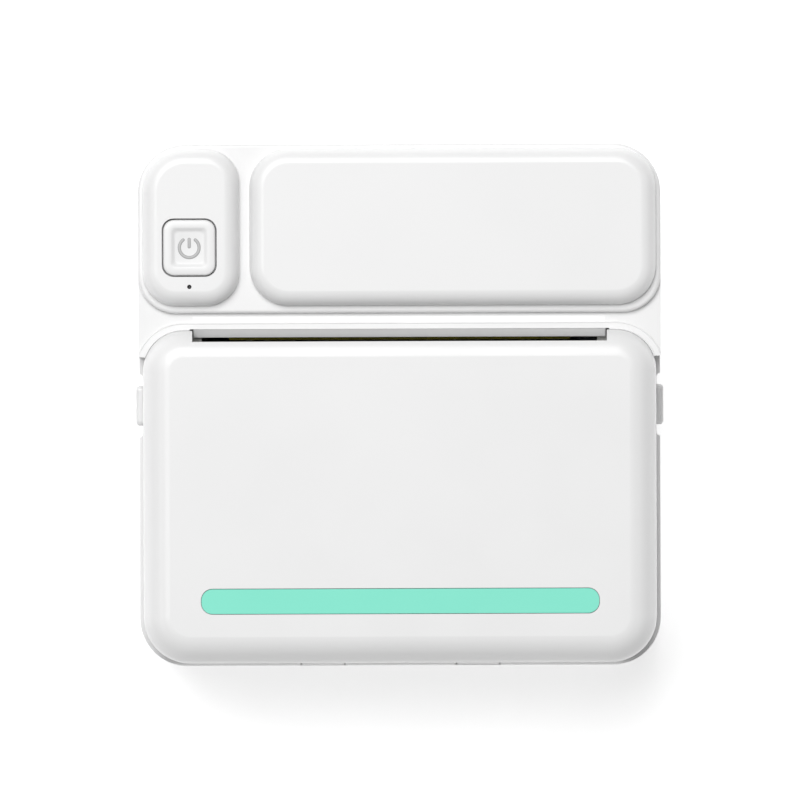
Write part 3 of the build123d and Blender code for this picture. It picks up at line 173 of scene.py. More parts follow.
class BoardSizes(bpy.types.PropertyGroup):
    """Leads of the board's components and contacts of the charging socket."""

    body_bevel: length_property("Body bevel", 0.12, "Softened edges of the components")
    body_lift: length_property("Body lift", 0.1, "Gap between a component's body and the board")
    lead_pitch: length_property("Lead pitch", 0.65, "Distance between leads")
    lead_half: length_property("Half lead", 0.14, "Half of a lead's width")
    lead_height: length_property("Lead height", 0.3, "Height of the leads above the board")
    lead_overlap: length_property("Lead overlap", 0.02, "How far a lead goes into the body")
    contact_pitch: length_property("Contact pitch", 0.5, "Distance between contacts")
    contact_half: length_property("Half contact", 0.13, "Half of a contact's width")
    contact_thick_half: length_property("Half thickness", 0.02, "Half of a contact's thickness")
    contact_level: length_property("Contact level", 0.36, "From the tongue's middle to a contact")
    contact_inset: length_property("Contact inset", 1.5, "From the socket's mouth to the contacts")
    contacts: IntProperty(name="Contacts", description="Contacts on each side", default=12, min=1)


class StageSetup(bpy.types.PropertyGroup):
    """Floor, light and camera."""

    camera_height: length_property("Camera height", 5000.0, "Above the floor")
    view_width: length_property("View width", 126.5, "Width of the picture, at the front face's height")
    view_x: length_property("View x", 0.05, "Middle of the picture, to the right")
    view_y: length_property("View y", 0.8, "Middle of the picture, upwards")
    roll: angle_property("Roll", -0.2, "Turn of the camera")
    sky: FloatProperty(name="Sky", description="Strength of the white surroundings", default=0.2)
    overhead: FloatProperty(name="Overhead", description="Brightness of the large softbox above", default=6.2)
    overhead_tilt: angle_property("Overhead tilt", 22, "From straight up to the large softbox")
    overhead_side: length_property("Overhead side", 900.0, "Side of the large softbox")
    strip_light: FloatProperty(name="Strips", description="Brightness of the narrow softboxes", default=4.0)
    strip_tilt: angle_property("Strip tilt", 40, "From straight up to each strip")
    strip_length: length_property("Strip length", 1200.0, "Length of each narrow softbox")
    strip_width: length_property("Strip width", 100.0, "Width of each narrow softbox")
    distance: length_property("Distance", 1400.0, "To each softbox")
    floor_half: length_property("Half floor", 6000.0, "From the middle to the edge of the floor")
    floor_glow: FloatProperty(name="Floor glow", description="Lifts the floor to white", default=0.45)


def settings():
    return bpy.context.scene.label_printer


class PrinterSettings(bpy.types.PropertyGroup):
    """All the sizes and colours that can be changed."""

    case: PointerProperty(type=CaseFinish, name="Case", description="Finish of the outside")
    inner: PointerProperty(type=InnerFinish, name="Inner parts", description="Finish of the mechanism")
    key: PointerProperty(type=KeySizes, name="Key", description="Dished power key and its symbol")
    lip: PointerProperty(type=LipSizes, name="Lip", description="Beads beside the cover")
    fixings: PointerProperty(type=FixingSizes, name="Fixings", description="Screws and springs")
    board: PointerProperty(type=BoardSizes, name="Board", description="Leads and contacts")
    stage: PointerProperty(type=StageSetup, name="Stage", description="Floor, light and camera")


# Materials


def add_node(tree, kind, values, links):
    """Add one node. Values go to its inputs or its own settings, links feed its inputs."""
    node = tree.nodes.new(kind)
    for name, value in values.items():
        if isinstance(name, int) or name in node.inputs:
            node.inputs[name].default_value = value
        else:
            setattr(node, name, value)
    for name, source in links.items():
        tree.links.new(source, node.inputs[name])
    return node


class Surface:
    """A material with one shader, and the patterns that feed it."""

    def __init__(self, name, **shader_values):
        self.material = bpy.data.materials.new(name)
        self.material.use_nodes = True
        self.tree = self.material.node_tree
        self.tree.nodes.clear()
        values = {key.replace("_", " "): value for key, value in shader_values.items()}
        self.shader = add_node(self.tree, "ShaderNodeBsdfPrincipled", values, {})
        add_node(self.tree, "ShaderNodeOutputMaterial", {}, {"Surface": self.shader.outputs["BSDF"]})
        self.place = add_node(self.tree, "ShaderNodeTexCoord", {}, {}).outputs["Object"]
        self.height = None

    def stretched(self, x, y, z):
        """The place, drawn out so that a pattern is longer along some axes."""
        mapping = add_node(self.tree, "ShaderNodeMapping", {"Scale": (x, y, z)}, {"Vector": self.place})
        return mapping.outputs["Vector"]

    def noise(self, size, detail=2.0, vector=None):
        """Noise whose patches are about size metres across."""
        node = add_node(
            self.tree,
            "ShaderNodeTexNoise",
            {"Scale": 1 / size, "Detail": detail},
            {"Vector": vector or self.place},
        )
        return node.outputs["Fac"]

    def cells(self, size, feature="F1", vector=None):
        """Distance from the nearest of many scattered points, about size metres apart."""
        node = add_node(
            self.tree,
            "ShaderNodeTexVoronoi",
            {"feature": feature, "Scale": 1 / size},
            {"Vector": vector or self.place},
        )
        return node.outputs["Distance"]

    def spread(self, source, low, high, start=0.35, end=0.65):
        """The source from start to end becomes a number from low to high."""
        node = add_node(
            self.tree,
            "ShaderNodeMapRange",
            {"From Min": start, "From Max": end, "To Min": low, "To Max": high},
            {"Value": source},
        )
        return node.outputs["Result"]

    def colour(self, first, second, share):
        """The base colour runs from first to second as share goes from 0 to 1."""
        node = add_node(
            self.tree,
            "ShaderNodeMix",
            {"data_type": "RGBA", 6: first, 7: second},
            {0: share},
        )
        self.tree.links.new(node.outputs[2], self.shader.inputs["Base Color"])
        return self

    def roughness(self, low, high, source):
        self.tree.links.new(self.spread(source, low, high), self.shader.inputs["Roughness"])
        return self

    def relief(self, source, depth):
        """Lay a bump of the given depth, in metres, over what is there."""
        links = {"Height": source}
        if self.height is not None:
            links["Normal"] = self.height
        bump = add_node(self.tree, "ShaderNodeBump", {"Distance": depth, "Strength": 1.0}, links)
        self.height = bump.outputs["Normal"]
        self.tree.links.new(self.height, self.shader.inputs["Normal"])
        return self


def shaded(colour, factor):
    """The same colour, darker or lighter."""
    return [min(1.0, c * factor) for c in colour[:3]] + [1.0]


def glossy_abs(name, colour, roughness, peel=0.0012):
    """Moulded ABS: soft reflections over a white body, with a faint peel from the polished mould."""
    surface = Surface(name, IOR=1.53, Roughness=roughness)
    slow = surface.noise(0.03)
    surface.colour(colour, shaded(colour, 0.985), surface.spread(slow, 0, 1))
    surface.roughness(roughness * 0.92, roughness * 1.08, surface.noise(0.009))
    return surface.relief(surface.noise(peel, 1.0), 0.0009 * MM)


def eroded_plastic(name, colour, roughness, grain=0.00045, depth=0.012):
    """Moulded plastic from a spark-eroded mould: a fine matt grain, drawn coarse enough to show."""
    surface = Surface(name, IOR=1.5, Roughness=roughness)
    grains = surface.noise(grain, 3.0)
    surface.colour(colour, shaded(colour, 0.9), surface.spread(surface.noise(0.012), 0, 1))
    surface.roughness(roughness * 0.85, min(1.0, roughness * 1.15), grains)
    return surface.relief(grains, depth * MM)


def acetal(name, colour):
    """Moulded acetal: a waxy, faintly see-through white that softens its own shadows."""
    surface = Surface(
        name, IOR=1.48, Roughness=0.34, Subsurface_Weight=0.25, Subsurface_Scale=0.4 * MM
    )
    surface.colour(colour, shaded(colour, 0.93), surface.spread(surface.noise(0.004), 0, 1))
    surface.roughness(0.3, 0.42, surface.noise(0.0008))
    return surface.relief(surface.noise(0.0003), 0.003 * MM)


def ground_rubber(name, colour, roughness=0.75, axis=(1.0, 0.2, 0.2)):
    """Rubber ground to size: dark and matt, with fine marks left round it by the wheel."""
    surface = Surface(name, IOR=1.52, Roughness=roughness)
    marks = surface.noise(0.0003, 2.0, surface.stretched(*axis))
    surface.colour(colour, shaded(colour, 1.5), surface.spread(marks, 0, 1))
    surface.roughness(roughness * 0.9, roughness * 1.1, surface.noise(0.003))
    return surface.relief(marks, 0.01 * MM)


def moulded_rubber(name, colour):
    """Moulded rubber: matt, with a light bloom and a pebbled skin."""
    surface = Surface(name, IOR=1.52, Roughness=0.8)
    pebbles = surface.cells(0.0005)
    surface.colour(colour, shaded(colour, 1.8), surface.spread(surface.noise(0.004), 0, 1))
    surface.roughness(0.7, 0.9, surface.noise(0.001))
    return surface.relief(pebbles, 0.02 * MM)


def drawn_steel(name, code, roughness, stretch):
    """Ground or drawn steel: a grey mirror broken into streaks along the way it was worked."""
    colour = linear(code)
    surface = Surface(name, Metallic=1.0, Roughness=roughness, Anisotropic=0.4)
    streaks = surface.noise(0.0004, 3.0, surface.stretched(*stretch))
    surface.colour(colour, shaded(colour, 0.82), surface.spread(streaks, 0, 1))
    surface.roughness(roughness * 0.7, roughness * 1.3, streaks)
    return surface.relief(streaks, 0.002 * MM)


def zinc_plated(name, code, roughness=0.38):
    """Zinc-plated sheet or wire: a bluish grey metal with cloudy patches from the bath."""
    colour = linear(code)
    surface = Surface(name, Metallic=1.0, Roughness=roughness)
    clouds = surface.noise(0.0025, 4.0)
    surface.colour(colour, shaded(colour, 0.8), surface.spread(clouds, 0, 1))
    surface.roughness(roughness * 0.8, roughness * 1.3, clouds)
    return surface.relief(surface.noise(0.0004), 0.003 * MM)


def hobbed_brass(name):
    """Hobbed brass: warm yellow metal, a little darker and duller in random patches."""
    surface = Surface(name, Metallic=1.0, Roughness=0.3)
    surface.colour(linear("#D9B36A"), linear("#B48C46"), surface.spread(surface.noise(0.0012), 0, 1))
    surface.roughness(0.22, 0.4, surface.noise(0.0006))
    return surface.relief(surface.noise(0.0002, 2.0, surface.stretched(6, 1, 1)), 0.003 * MM)


def extruded_aluminium(name):
    """Extruded aluminium: pale metal with fine lines along the print head."""
    surface = Surface(name, Metallic=1.0, Roughness=0.36, Anisotropic=0.5)
    lines = surface.noise(0.0003, 3.0, surface.stretched(0.04, 1, 1))
    surface.colour(linear("#C9CBCE"), linear("#AEB1B5"), surface.spread(lines, 0, 1))
    surface.roughness(0.3, 0.45, lines)
    return surface.relief(lines, 0.004 * MM)


def glazed_ceramic(name, colour):
    """Glazed ceramic: a hard wet-looking skin over a speckled body."""
    surface = Surface(name, IOR=1.55, Roughness=0.18, Coat_Weight=0.6, Coat_Roughness=0.08)
    surface.colour(colour, shaded(colour, 0.75), surface.spread(surface.noise(0.0015, 4.0), 0, 1))
    surface.roughness(0.14, 0.26, surface.noise(0.002))
    return surface.relief(surface.noise(0.001), 0.002 * MM)


def masked_board(name):
    """Glass-epoxy board under green solder mask: raised tracks show through the glossy skin."""
    surface = Surface(name, IOR=1.5, Roughness=0.3, Coat_Weight=0.4, Coat_Roughness=0.15)
    steps = add_node(
        surface.tree,
        "ShaderNodeTexBrick",
        {
            "Color1": (1, 1, 1, 1),
            "Color2": (0.6, 0.6, 0.6, 1),
            "Mortar": (0, 0, 0, 1),
            "Scale": 1 / 0.012,
            "Mortar Size": 0.012,
            "Brick Width": 0.9,
            "Row Height": 0.06,
        },
        {"Vector": surface.place},
    ).outputs["Color"]
    surface.colour(linear("#0B3A24"), linear("#12633C"), steps)
    surface.roughness(0.25, 0.4, surface.noise(0.003))
    return surface.relief(steps, 0.02 * MM)


def chip_epoxy(name):
    """Moulded chip epoxy: near black, with a sandy matt skin."""
    surface = Surface(name, IOR=1.55, Roughness=0.6)
    grains = surface.noise(0.0002, 2.0)
    surface.colour(linear("#1B1B1C"), linear("#2C2C2D"), surface.spread(grains, 0, 1))
    surface.roughness(0.5, 0.75, grains)
    return surface.relief(grains, 0.006 * MM)


def foil_pouch(name):
    """Aluminium-laminate pouch: a soft silver skin, creased by the cell inside."""
    surface = Surface(name, Metallic=1.0, Roughness=0.4)
    creases = surface.noise(0.006, 5.0)
    surface.colour(linear("#C4C6C8"), linear("#A7A9AC"), surface.spread(creases, 0, 1))
    surface.roughness(0.32, 0.5, surface.noise(0.001))
    return surface.relief(creases, 0.15 * MM)


def polyimide(name):
    """Polyimide flat cable: amber film over copper tracks one millimetre apart."""
    surface = Surface(name, IOR=1.6, Roughness=0.25, Coat_Weight=0.3)
    tracks_apart = 1 * MM
    # The wave node draws 20 times its scale, in radians, for each metre
    scale = math.tau / (20 * tracks_apart)
    tracks = add_node(
        surface.tree,
        "ShaderNodeTexWave",
        {"bands_direction": "X", "wave_profile": "SIN", "Scale": scale, "Distortion": 0.0},
        {"Vector": surface.place},
    ).outputs["Fac"]
    surface.colour(linear("#7A4A12"), linear("#B5762A"), surface.spread(tracks, 0, 1, 0.45, 0.55))
    surface.roughness(0.2, 0.35, surface.noise(0.002))
    return surface.relief(tracks, 0.02 * MM)


def foam_tape(name):
    """Foam tape: an off-white pad with open cells."""
    surface = Surface(name, IOR=1.45, Roughness=0.9)
    surface.colour(linear("#DAD8CC"), linear("#BDBBAE"), surface.cells(0.0006))
    surface.roughness(0.8, 0.95, surface.noise(0.002))
    return surface.relief(surface.cells(0.0006), 0.03 * MM)


def smoked_acrylic(name):
    """Smoked acrylic rod: nearly black until the lamp behind it is lit."""
    surface = Surface(name, IOR=1.49, Roughness=0.25)
    surface.colour(linear("#0A0A0A"), linear("#141414"), surface.spread(surface.noise(0.0005), 0, 1))
    surface.roughness(0.2, 0.35, surface.noise(0.0004))
    return surface.relief(surface.noise(0.0004), 0.002 * MM)


def lamp_package(name):
    """Lamp package: a pale yellow phosphor dome in a white body."""
    surface = Surface(name, IOR=1.5, Roughness=0.35, Subsurface_Weight=0.2, Subsurface_Scale=0.3 * MM)
    surface.colour(linear("#EDE9C8"), linear("#D9D08E"), surface.spread(surface.noise(0.0006), 0, 1))
    surface.roughness(0.3, 0.45, surface.noise(0.0004))
    return surface.relief(surface.noise(0.0003), 0.003 * MM)


def make_materials():
    """Every finish of the object, by the record's slot or by a name of its own."""
    case, inner = settings().case, settings().inner
    shell, gloss = list(case.shell), case.shell_roughness
    return {
        "white_shell": glossy_abs("glossy_white_abs", shell, gloss).material,
        "white_key": glossy_abs("satin_white_abs", shell, gloss * 1.2, 0.0008).material,
        "mint_strip": glossy_abs("satin_mint_abs", list(case.strip), 0.45, 0.0008).material,
        # The symbol's darker edge ink is painted shade on the edges of its strokes
        "symbol": glossy_abs("symbol_ink_painted_edge_shade", list(case.symbol), 0.5, 0.0006).material,
        "symbol_middle": glossy_abs("light_symbol_ink", list(case.symbol_middle), 0.5, 0.0006).material,
        "grey_liner": eroded_plastic("eroded_white_abs", list(inner.liner), 0.55).material,
        # The record's slot is called black, though the frame is as pale as the liner
        "black_frame": eroded_plastic("eroded_white_frame", list(inner.frame), 0.6).material,
        "acetal": acetal("moulded_acetal", list(inner.gear)).material,
        "spring_steel": drawn_steel("drawn_spring_wire", "#B9BBBD", 0.25, (1, 1, 1)).material,
        "ground_steel": drawn_steel("ground_steel_shaft", "#C2C3C5", 0.22, (8, 1, 1)).material,
        "plate_steel": zinc_plated("zinc_plated_sheet", "#B4B8BC").material,
        "screw_steel": zinc_plated("zinc_plated_screw", "#9DA1A6", 0.32).material,
        "brass_pinion": hobbed_brass("hobbed_brass").material,
        "motor_can": drawn_steel("drawn_steel_can", "#B0B2B5", 0.35, (0.1, 1, 1)).material,
        "roller_rubber": ground_rubber("ground_silicone_rubber", list(inner.roller)).material,
        "foot_rubber": moulded_rubber("moulded_foot_rubber", list(case.foot)).material,
        "head_ceramic": glazed_ceramic("glazed_print_strip", list(inner.head)).material,
        "heatsink_aluminium": extruded_aluminium("extruded_aluminium").material,
        "board_green": masked_board("masked_glass_epoxy").material,
        "chip_black": chip_epoxy("moulded_chip_epoxy").material,
        "switch_black": eroded_plastic("moulded_black_nylon", linear("#202021"), 0.55, 0.0003).material,
        "lamp_white": lamp_package("lamp_package").material,
        "clear_pipe": smoked_acrylic("smoked_acrylic").material,
        "cell_foil": foil_pouch("laminate_foil").material,
        "tape": foam_tape("foam_tape").material,
        "flex_amber": polyimide("polyimide_film").material,
        "contact_gold": zinc_plated("gold_plated_contact", "#D8B25A", 0.25).material,
    }


material_names = {}


def finish_of(slot):
    return bpy.data.materials[material_names[slot]]


# Meshes


def new_piece(name, bm, slot, body, smooth_angle=35):
    """Turn a bmesh into a piece with its finish, riding on a body."""
    mesh = bpy.data.meshes.new(name)
    bmesh.ops.recalc_face_normals(bm, faces=bm.faces)
    bm.to_mesh(mesh)
    bm.free()
    for face in mesh.polygons:
        face.use_smooth = True
    mesh.set_sharp_from_angle(angle=math.radians(smooth_angle))
    piece = bpy.data.objects.new(name, mesh)
    bpy.context.scene.collection.objects.link(piece)
    mesh.materials.append(finish_of(slot))
    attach(piece, body)
    return piece


def skin(bm, rows):
    """Join closed rows of points by faces and return the rows of vertices."""
    grid = [[bm.verts.new(p) for p in row] for row in rows]
    for lower, upper in zip(grid, grid[1:]):
        count = len(lower)
        for i in range(count):
            j = (i + 1) % count
            bm.faces.new((lower[i], lower[j], upper[j], upper[i]))
    return grid


def closed(bm, rows):
    """Close both ends of a skin."""
    bm.faces.new(rows[0])
    bm.faces.new(rows[-1])


def circle_angles(count):
    return [math.tau * i / count for i in range(count)]


def rounded_ends(path, width):
    """The path as (point, share of the full width), carried on by a half circle at each end."""
    end_angles = [math.radians(22 * step) for step in (1, 2, 3, 4)]
    caps = []
    for end, inner in ((path[0], path[1]), (path[-1], path[-2])):
        outwards = (end - inner).normalized() * width / 2
        caps.append([(end + outwards * math.sin(angle), math.cos(angle)) for angle in end_angles])
    return caps[0][::-1] + [(point, 1.0) for point in path] + caps[1]


def raised_stroke(bm, path, width, height):
    """A closed bead along a level path, half sunk in what it lies on."""
    sides = 12
    stations = rounded_ends(path, width)
    rows = []
    for index, (point, share) in enumerate(stations):
        before = stations[max(0, index - 1)][0]
        after = stations[min(len(stations) - 1, index + 1)][0]
        along = (after - before).normalized()
        across = Vector((-along.y, along.x, 0)) * width / 2 * share
        rise = Vector((0, 0, height * share))
        rows.append([point + across * math.cos(a) + rise * math.sin(a) for a in circle_angles(sides)])
    closed(bm, skin(bm, rows))


def turned(bm, profile, matrix, segments=24):
    """A surface turned about local z from (radius, height) points."""
    rows = []
    for radius, height in profile:
        ring = [(radius * math.cos(a), radius * math.sin(a), height) for a in circle_angles(segments)]
        rows.append([matrix @ Vector(point) for point in ring])
    return skin(bm, rows)


def rounded_ring(x, y, z, half_x, half_y, corner):
    """Points round a rectangle with round corners, in a level plane."""
    steps = 6
    points = []
    for quarter, (sx, sy) in enumerate(((1, 1), (-1, 1), (-1, -1), (1, -1))):
        for step in range(steps + 1):
            angle = math.pi / 2 * (quarter + step / steps)
            point_x = x + sx * (half_x - corner) + corner * math.cos(angle)
            point_y = y + sy * (half_y - corner) + corner * math.sin(angle)
            points.append(Vector((point_x, point_y, z)))
    return points


def ring_between(bm, outer, inner):
    """Fill the flat gap between two closed loops of vertices."""
    edges = [bm.edges.get(pair) for loop in (outer, inner) for pair in zip(loop, loop[1:] + loop[:1])]
    bmesh.ops.triangle_fill(bm, edges=edges, use_beauty=True)


def cross_corners(reach, half_width, height):
    """The twelve corners of a cross in a level plane, in order."""
    corners = []
    for quarter in range(4):
        turn = Matrix.Rotation(math.pi / 2 * quarter, 3, "Z")
        for x, y in ((reach, -half_width), (reach, half_width), (half_width, half_width)):
            corners.append(turn @ Vector((x, y, 0)) + Vector((0, 0, height)))
    return corners


def thread(bm, matrix, radius, length):
    """The threaded shank below a head, ending in a point. Returns its first ring."""
    fixings = settings().fixings
    segments = 16
    rows_per_turn = 6
    straight = length - radius
    row_count = max(1, round(straight / fixings.pitch)) * rows_per_turn
    rows = []
    for step in range(row_count + 1):
        row = []
        for i in range(segments):
            phase = (step / rows_per_turn + i / segments) % 1.0
            ridge = max(0.0, 1 - abs(phase - 0.5) * 4) * fixings.thread_depth
            angle = math.tau * i / segments
            reach = radius - fixings.thread_depth + ridge
            local = Vector((reach * math.cos(angle), reach * math.sin(angle), -straight * step / row_count))
            row.append(matrix @ local)
        rows.append(row)
    grid = skin(bm, rows)
    point = bm.verts.new(matrix @ Vector((0, 0, -length)))
    for a, b in zip(grid[-1], grid[-1][1:] + grid[-1][:1]):
        bm.faces.new((a, b, point))
    return grid[0]


def screw(bm, matrix, head_radius, head_height, shank_radius, shank_length):
    """A pan-head screw with a cross recess. Local z points out of the head, from the head's underside."""
    profile = (
        (head_radius, 0.0),
        (head_radius, 0.45 * head_height),
        (0.86 * head_radius, 0.85 * head_height),
        (0.62 * head_radius, head_height),
    )
    head = turned(bm, profile, matrix)
    mouth = cross_corners(0.5 * head_radius, 0.15 * head_radius, head_height)
    floor = cross_corners(0.3 * head_radius, 0.09 * head_radius, 0.3 * head_height)
    recess = skin(bm, [[matrix @ p for p in mouth], [matrix @ p for p in floor]])
    bm.faces.new(recess[-1])
    ring_between(bm, head[-1], recess[0])
    ring_between(bm, head[0], thread(bm, matrix, shank_radius, shank_length))


def solids_of(node):
    """The corner points of each separate solid of a node."""
    bm = bmesh.new()
    bm.from_mesh(frame["nodes"][node].data)
    bmesh.ops.remove_doubles(bm, verts=bm.verts, dist=0.001 * MM)
    solids = []
    left = set(bm.verts)
    while left:
        pending = [left.pop()]
        points = []
        while pending:
            vertex = pending.pop()
            points.append(vertex.co.copy())
            for edge in vertex.link_edges:
                other = edge.other_vert(vertex)
                if other in left:
                    left.remove(other)
                    pending.append(other)
        solids.append(sorted(points, key=tuple))
    bm.free()
    return sorted(solids, key=lambda points: tuple(points[0]))


def corners_of(points):
    """The lowest and the highest corner of the box round some points."""
    return Vector(map(min, zip(*points))), Vector(map(max, zip(*points)))


def screw_like(bm, points, axis, shank_share):
    """A screw in the place of a plain solid one: its head is where the solid is widest."""
    low, high = corners_of(points)
    middle = (low + high) / 2
    across = [i for i in range(3) if i != axis]
    head_radius = (high[across[0]] - low[across[0]]) / 2
    centre = [middle[i] for i in across]
    near_edge = 0.93 * head_radius
    wide = [p[axis] for p in points if math.dist([p[i] for i in across], centre) > near_edge]
    faces_up = max(wide) > high[axis] - 0.001 * MM
    underside = min(wide) if faces_up else max(wide)
    outer = high[axis] if faces_up else low[axis]
    tip = low[axis] if faces_up else high[axis]
    middle[axis] = underside
    outwards = Vector((0, 0, 0))
    outwards[axis] = 1.0 if faces_up else -1.0
    matrix = Matrix.Translation(middle) @ outwards.to_track_quat("Z", "Y").to_matrix().to_4x4()
    screw(bm, matrix, head_radius, abs(outer - underside), head_radius * shank_share, abs(tip - underside))


def coil(bm, start, end, radius, wire, turns):
    """A compression spring of round wire, with a closed coil at each end."""
    along = end - start
    length = along.length
    turn_to_axis = along.to_track_quat("Z", "Y").to_matrix().to_4x4()
    matrix = Matrix.Translation(start) @ turn_to_axis
    segments_per_turn = 24
    closed_turns = 0.75
    closed_pitch = 1.4 * wire
    first_open = wire + closed_turns * closed_pitch
    total = turns + 2 * closed_turns
    count = round(total * segments_per_turn)
    rows = []
    for index in range(count + 1):
        turn = index / segments_per_turn
        if turn < closed_turns:
            height = wire + turn * closed_pitch
        elif turn > total - closed_turns:
            height = length - wire - (total - turn) * closed_pitch
        else:
            share = (turn - closed_turns) / turns
            height = first_open + (length - 2 * first_open) * share
        angle = math.tau * turn
        outwards = Vector((math.cos(angle), math.sin(angle), 0))
        row = []
        for around in circle_angles(8):
            reach = radius + wire * math.cos(around)
            rise = height + wire * math.sin(around)
            row.append(matrix @ (outwards * reach + Vector((0, 0, rise))))
        rows.append(row)
    closed(bm, skin(bm, rows))


def block(bm, low, high, bevel=0.0):
    """A box between two corners, with softened edges."""
    corners = bmesh.ops.create_cube(bm, size=1.0)["verts"]
    size = high - low
    middle = (high + low) / 2
    for vertex in corners:
        vertex.co = middle + Vector(c * s for c, s in zip(vertex.co, size))
    if bevel:
        edges = list({e for v in corners for e in v.link_edges})
        bmesh.ops.bevel(bm, geom=edges, offset=bevel, segments=2, affect="EDGES", profile=0.5)


# Operators: one for each piece or group of like pieces


class PrinterOperator:
    """What all the operators share."""

    bl_options = {"REGISTER", "UNDO"}

    def execute(self, context):
        self.build()
        return {"FINISHED"}


class LABELPRINTER_OT_finishes(PrinterOperator, bpy.types.Operator):
    """Make every material"""

    bl_idname = "label_printer.finishes"
    bl_label = "Make the finishes"

    def build(self):
        for slot, material in make_materials().items():
            material_names[slot] = material.name


class LABELPRINTER_OT_nodes(PrinterOperator, bpy.types.Operator):
    """Give each carried-over solid the finish of its slot"""

    bl_idname = "label_printer.nodes"
    bl_label = "Dress the solids"

    def build(self):
        for part in frame["record"]["subparts"]:
            for place in frame["nodes"][part["node"]].material_slots:
                place.material = finish_of(part["material_slot"])


class LABELPRINTER_OT_dished_key(PrinterOperator, bpy.types.Operator):
    """Mould the power key with its soft dish"""

    bl_idname = "label_printer.dished_key"
    bl_label = "Dished key"

    def build(self):
        sizes = settings().key
        low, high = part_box("power_key")
        plunger_low, plunger_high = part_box("switch_plunger")
        centre = (low + high) / 2
        stem = (plunger_high.x - plunger_low.x) / 2
        flange_low = low.z + sizes.stem
        flange_high = flange_low + sizes.flange_thick
        sunk_in_flange = 0.1 * MM
        least_corner = 0.7 * MM
        # Each step is how far in from the key's outline, and its height
        steps = [
            (-sizes.flange, flange_low),
            (-sizes.flange, flange_high),
            (0.0, flange_high),
            (0.0, high.z - sizes.edge),
        ]
        for share in (0.33, 0.67, 1.0):
            angle = share * math.pi / 2
            steps.append((sizes.edge * (1 - math.cos(angle)), high.z - sizes.edge * (1 - math.sin(angle))))
        slope_start = sizes.edge + sizes.rim
        slope_steps = 8
        for step in range(slope_steps + 1):
            share = step / slope_steps
            drop = sizes.depth * (1 - math.cos(share * math.pi)) / 2
            steps.append((slope_start + share * sizes.slope, high.z - drop))
        bm = bmesh.new()
        rings = []
        for inset, height in steps:
            half_x = sizes.width / 2 - inset
            half_y = sizes.length / 2 - inset
            corner = max(sizes.corner - inset, least_corner)
            rings.append(rounded_ring(centre.x, centre.y, height, half_x, half_y, corner))
        closed(bm, skin(bm, rings))
        at_key = Matrix.Translation((centre.x, centre.y, 0))
        closed(bm, turned(bm, [(stem, low.z), (stem, flange_low + sunk_in_flange)], at_key))
        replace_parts(new_piece("dished_power_key", bm, "white_key", "key"), "power_key")


class LABELPRINTER_OT_power_symbol(PrinterOperator, bpy.types.Operator):
    """Print the power symbol on the key: grey ink strokes, whose darker edge is painted shade round the
    lighter middle
    """

    bl_idname = "label_printer.power_symbol"
    bl_label = "Power symbol"

    def build(self):
        sizes = settings().key
        low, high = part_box("power_key")
        dish = Vector(((low.x + high.x) / 2, (low.y + high.y) / 2, high.z - sizes.depth))
        ring_steps = 40
        ring = []
        for step in range(ring_steps + 1):
            angle = math.pi / 2 + sizes.opening + (math.tau - 2 * sizes.opening) * step / ring_steps
            ring.append(dish + Vector((math.cos(angle), math.sin(angle), 0)) * sizes.radius)
        middle = (sizes.bar_bottom + sizes.bar_top) / 2
        bar = [dish + Vector((0, y, 0)) for y in (sizes.bar_bottom, middle, sizes.bar_top)]
        # The wide bead carries the painted shade of the strokes' edges, the narrow one above it the ink's own
        # grey
        for name, slot, width_share, relief_share in (
            ("power_symbol", "symbol", 1.0, 1.0),
            ("power_symbol_middle", "symbol_middle", 0.62, 1.6),
        ):
            bm = bmesh.new()
            for path in (ring, bar):
                raised_stroke(bm, path, sizes.stroke * width_share, sizes.relief * relief_share)
            new_piece(name, bm, slot, "key")


class LABELPRINTER_OT_lip_beads(PrinterOperator, bpy.types.Operator):
    """Round off the lip beside the cover's top corners with two fine beads"""

    bl_idname = "label_printer.lip_beads"
    bl_label = "Lip beads"

    def build(self):
        sizes = settings().lip
        cover_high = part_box("paper_cover")[1]
        case_low, case_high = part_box("front_case")
        corner = Vector((cover_high.x - sizes.corner, cover_high.y - sizes.corner))
        height = cover_high.z - sizes.below_face
        arc_steps = 16
        bm = bmesh.new()
        # The inner bead stops at the slot, the outer one runs on to the middle
        for reach, ends_at in (
            (sizes.half_width, sizes.slot_half),
            (sizes.half_width + sizes.spacing, 0.0),
        ):
            radius = sizes.corner + reach
            first = math.asin((case_low.y - corner.y) / radius)
            arc = []
            for step in range(arc_steps + 1):
                angle = first + (math.pi / 2 - first) * step / arc_steps
                arc.append((corner.x + radius * math.cos(angle), corner.y + radius * math.sin(angle)))
            outline = [point for point in arc if point[0] < case_high.x - sizes.half_width]
            outline.append(((corner.x + ends_at) / 2, corner.y + radius))
            outline.append((ends_at, corner.y + radius))
            for side in (-1, 1):
                path = [Vector((side * x, y, height)) for x, y in outline]
                raised_stroke(bm, path, 2 * sizes.half_width, sizes.height)
        new_piece("lip_beads", bm, "white_shell", "base")


class LABELPRINTER_OT_screws(PrinterOperator, bpy.types.Operator):
    """Cut the threads and cross recesses of every screw"""

    bl_idname = "label_printer.screws"
    bl_label = "Screws"

    def build(self):
        across, upright = 0, 2
        for node, body, axis in (
            ("case_screws", "base", upright),
            ("liner_screws", "cover", upright),
            ("board_screws", "base", upright),
            ("frame_screws", "base", across),
        ):
            bm = bmesh.new()
            for points in solids_of(node):
                screw_like(bm, points, axis, 0.5)
            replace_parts(new_piece(f"threaded_{node}", bm, "screw_steel", body), node)


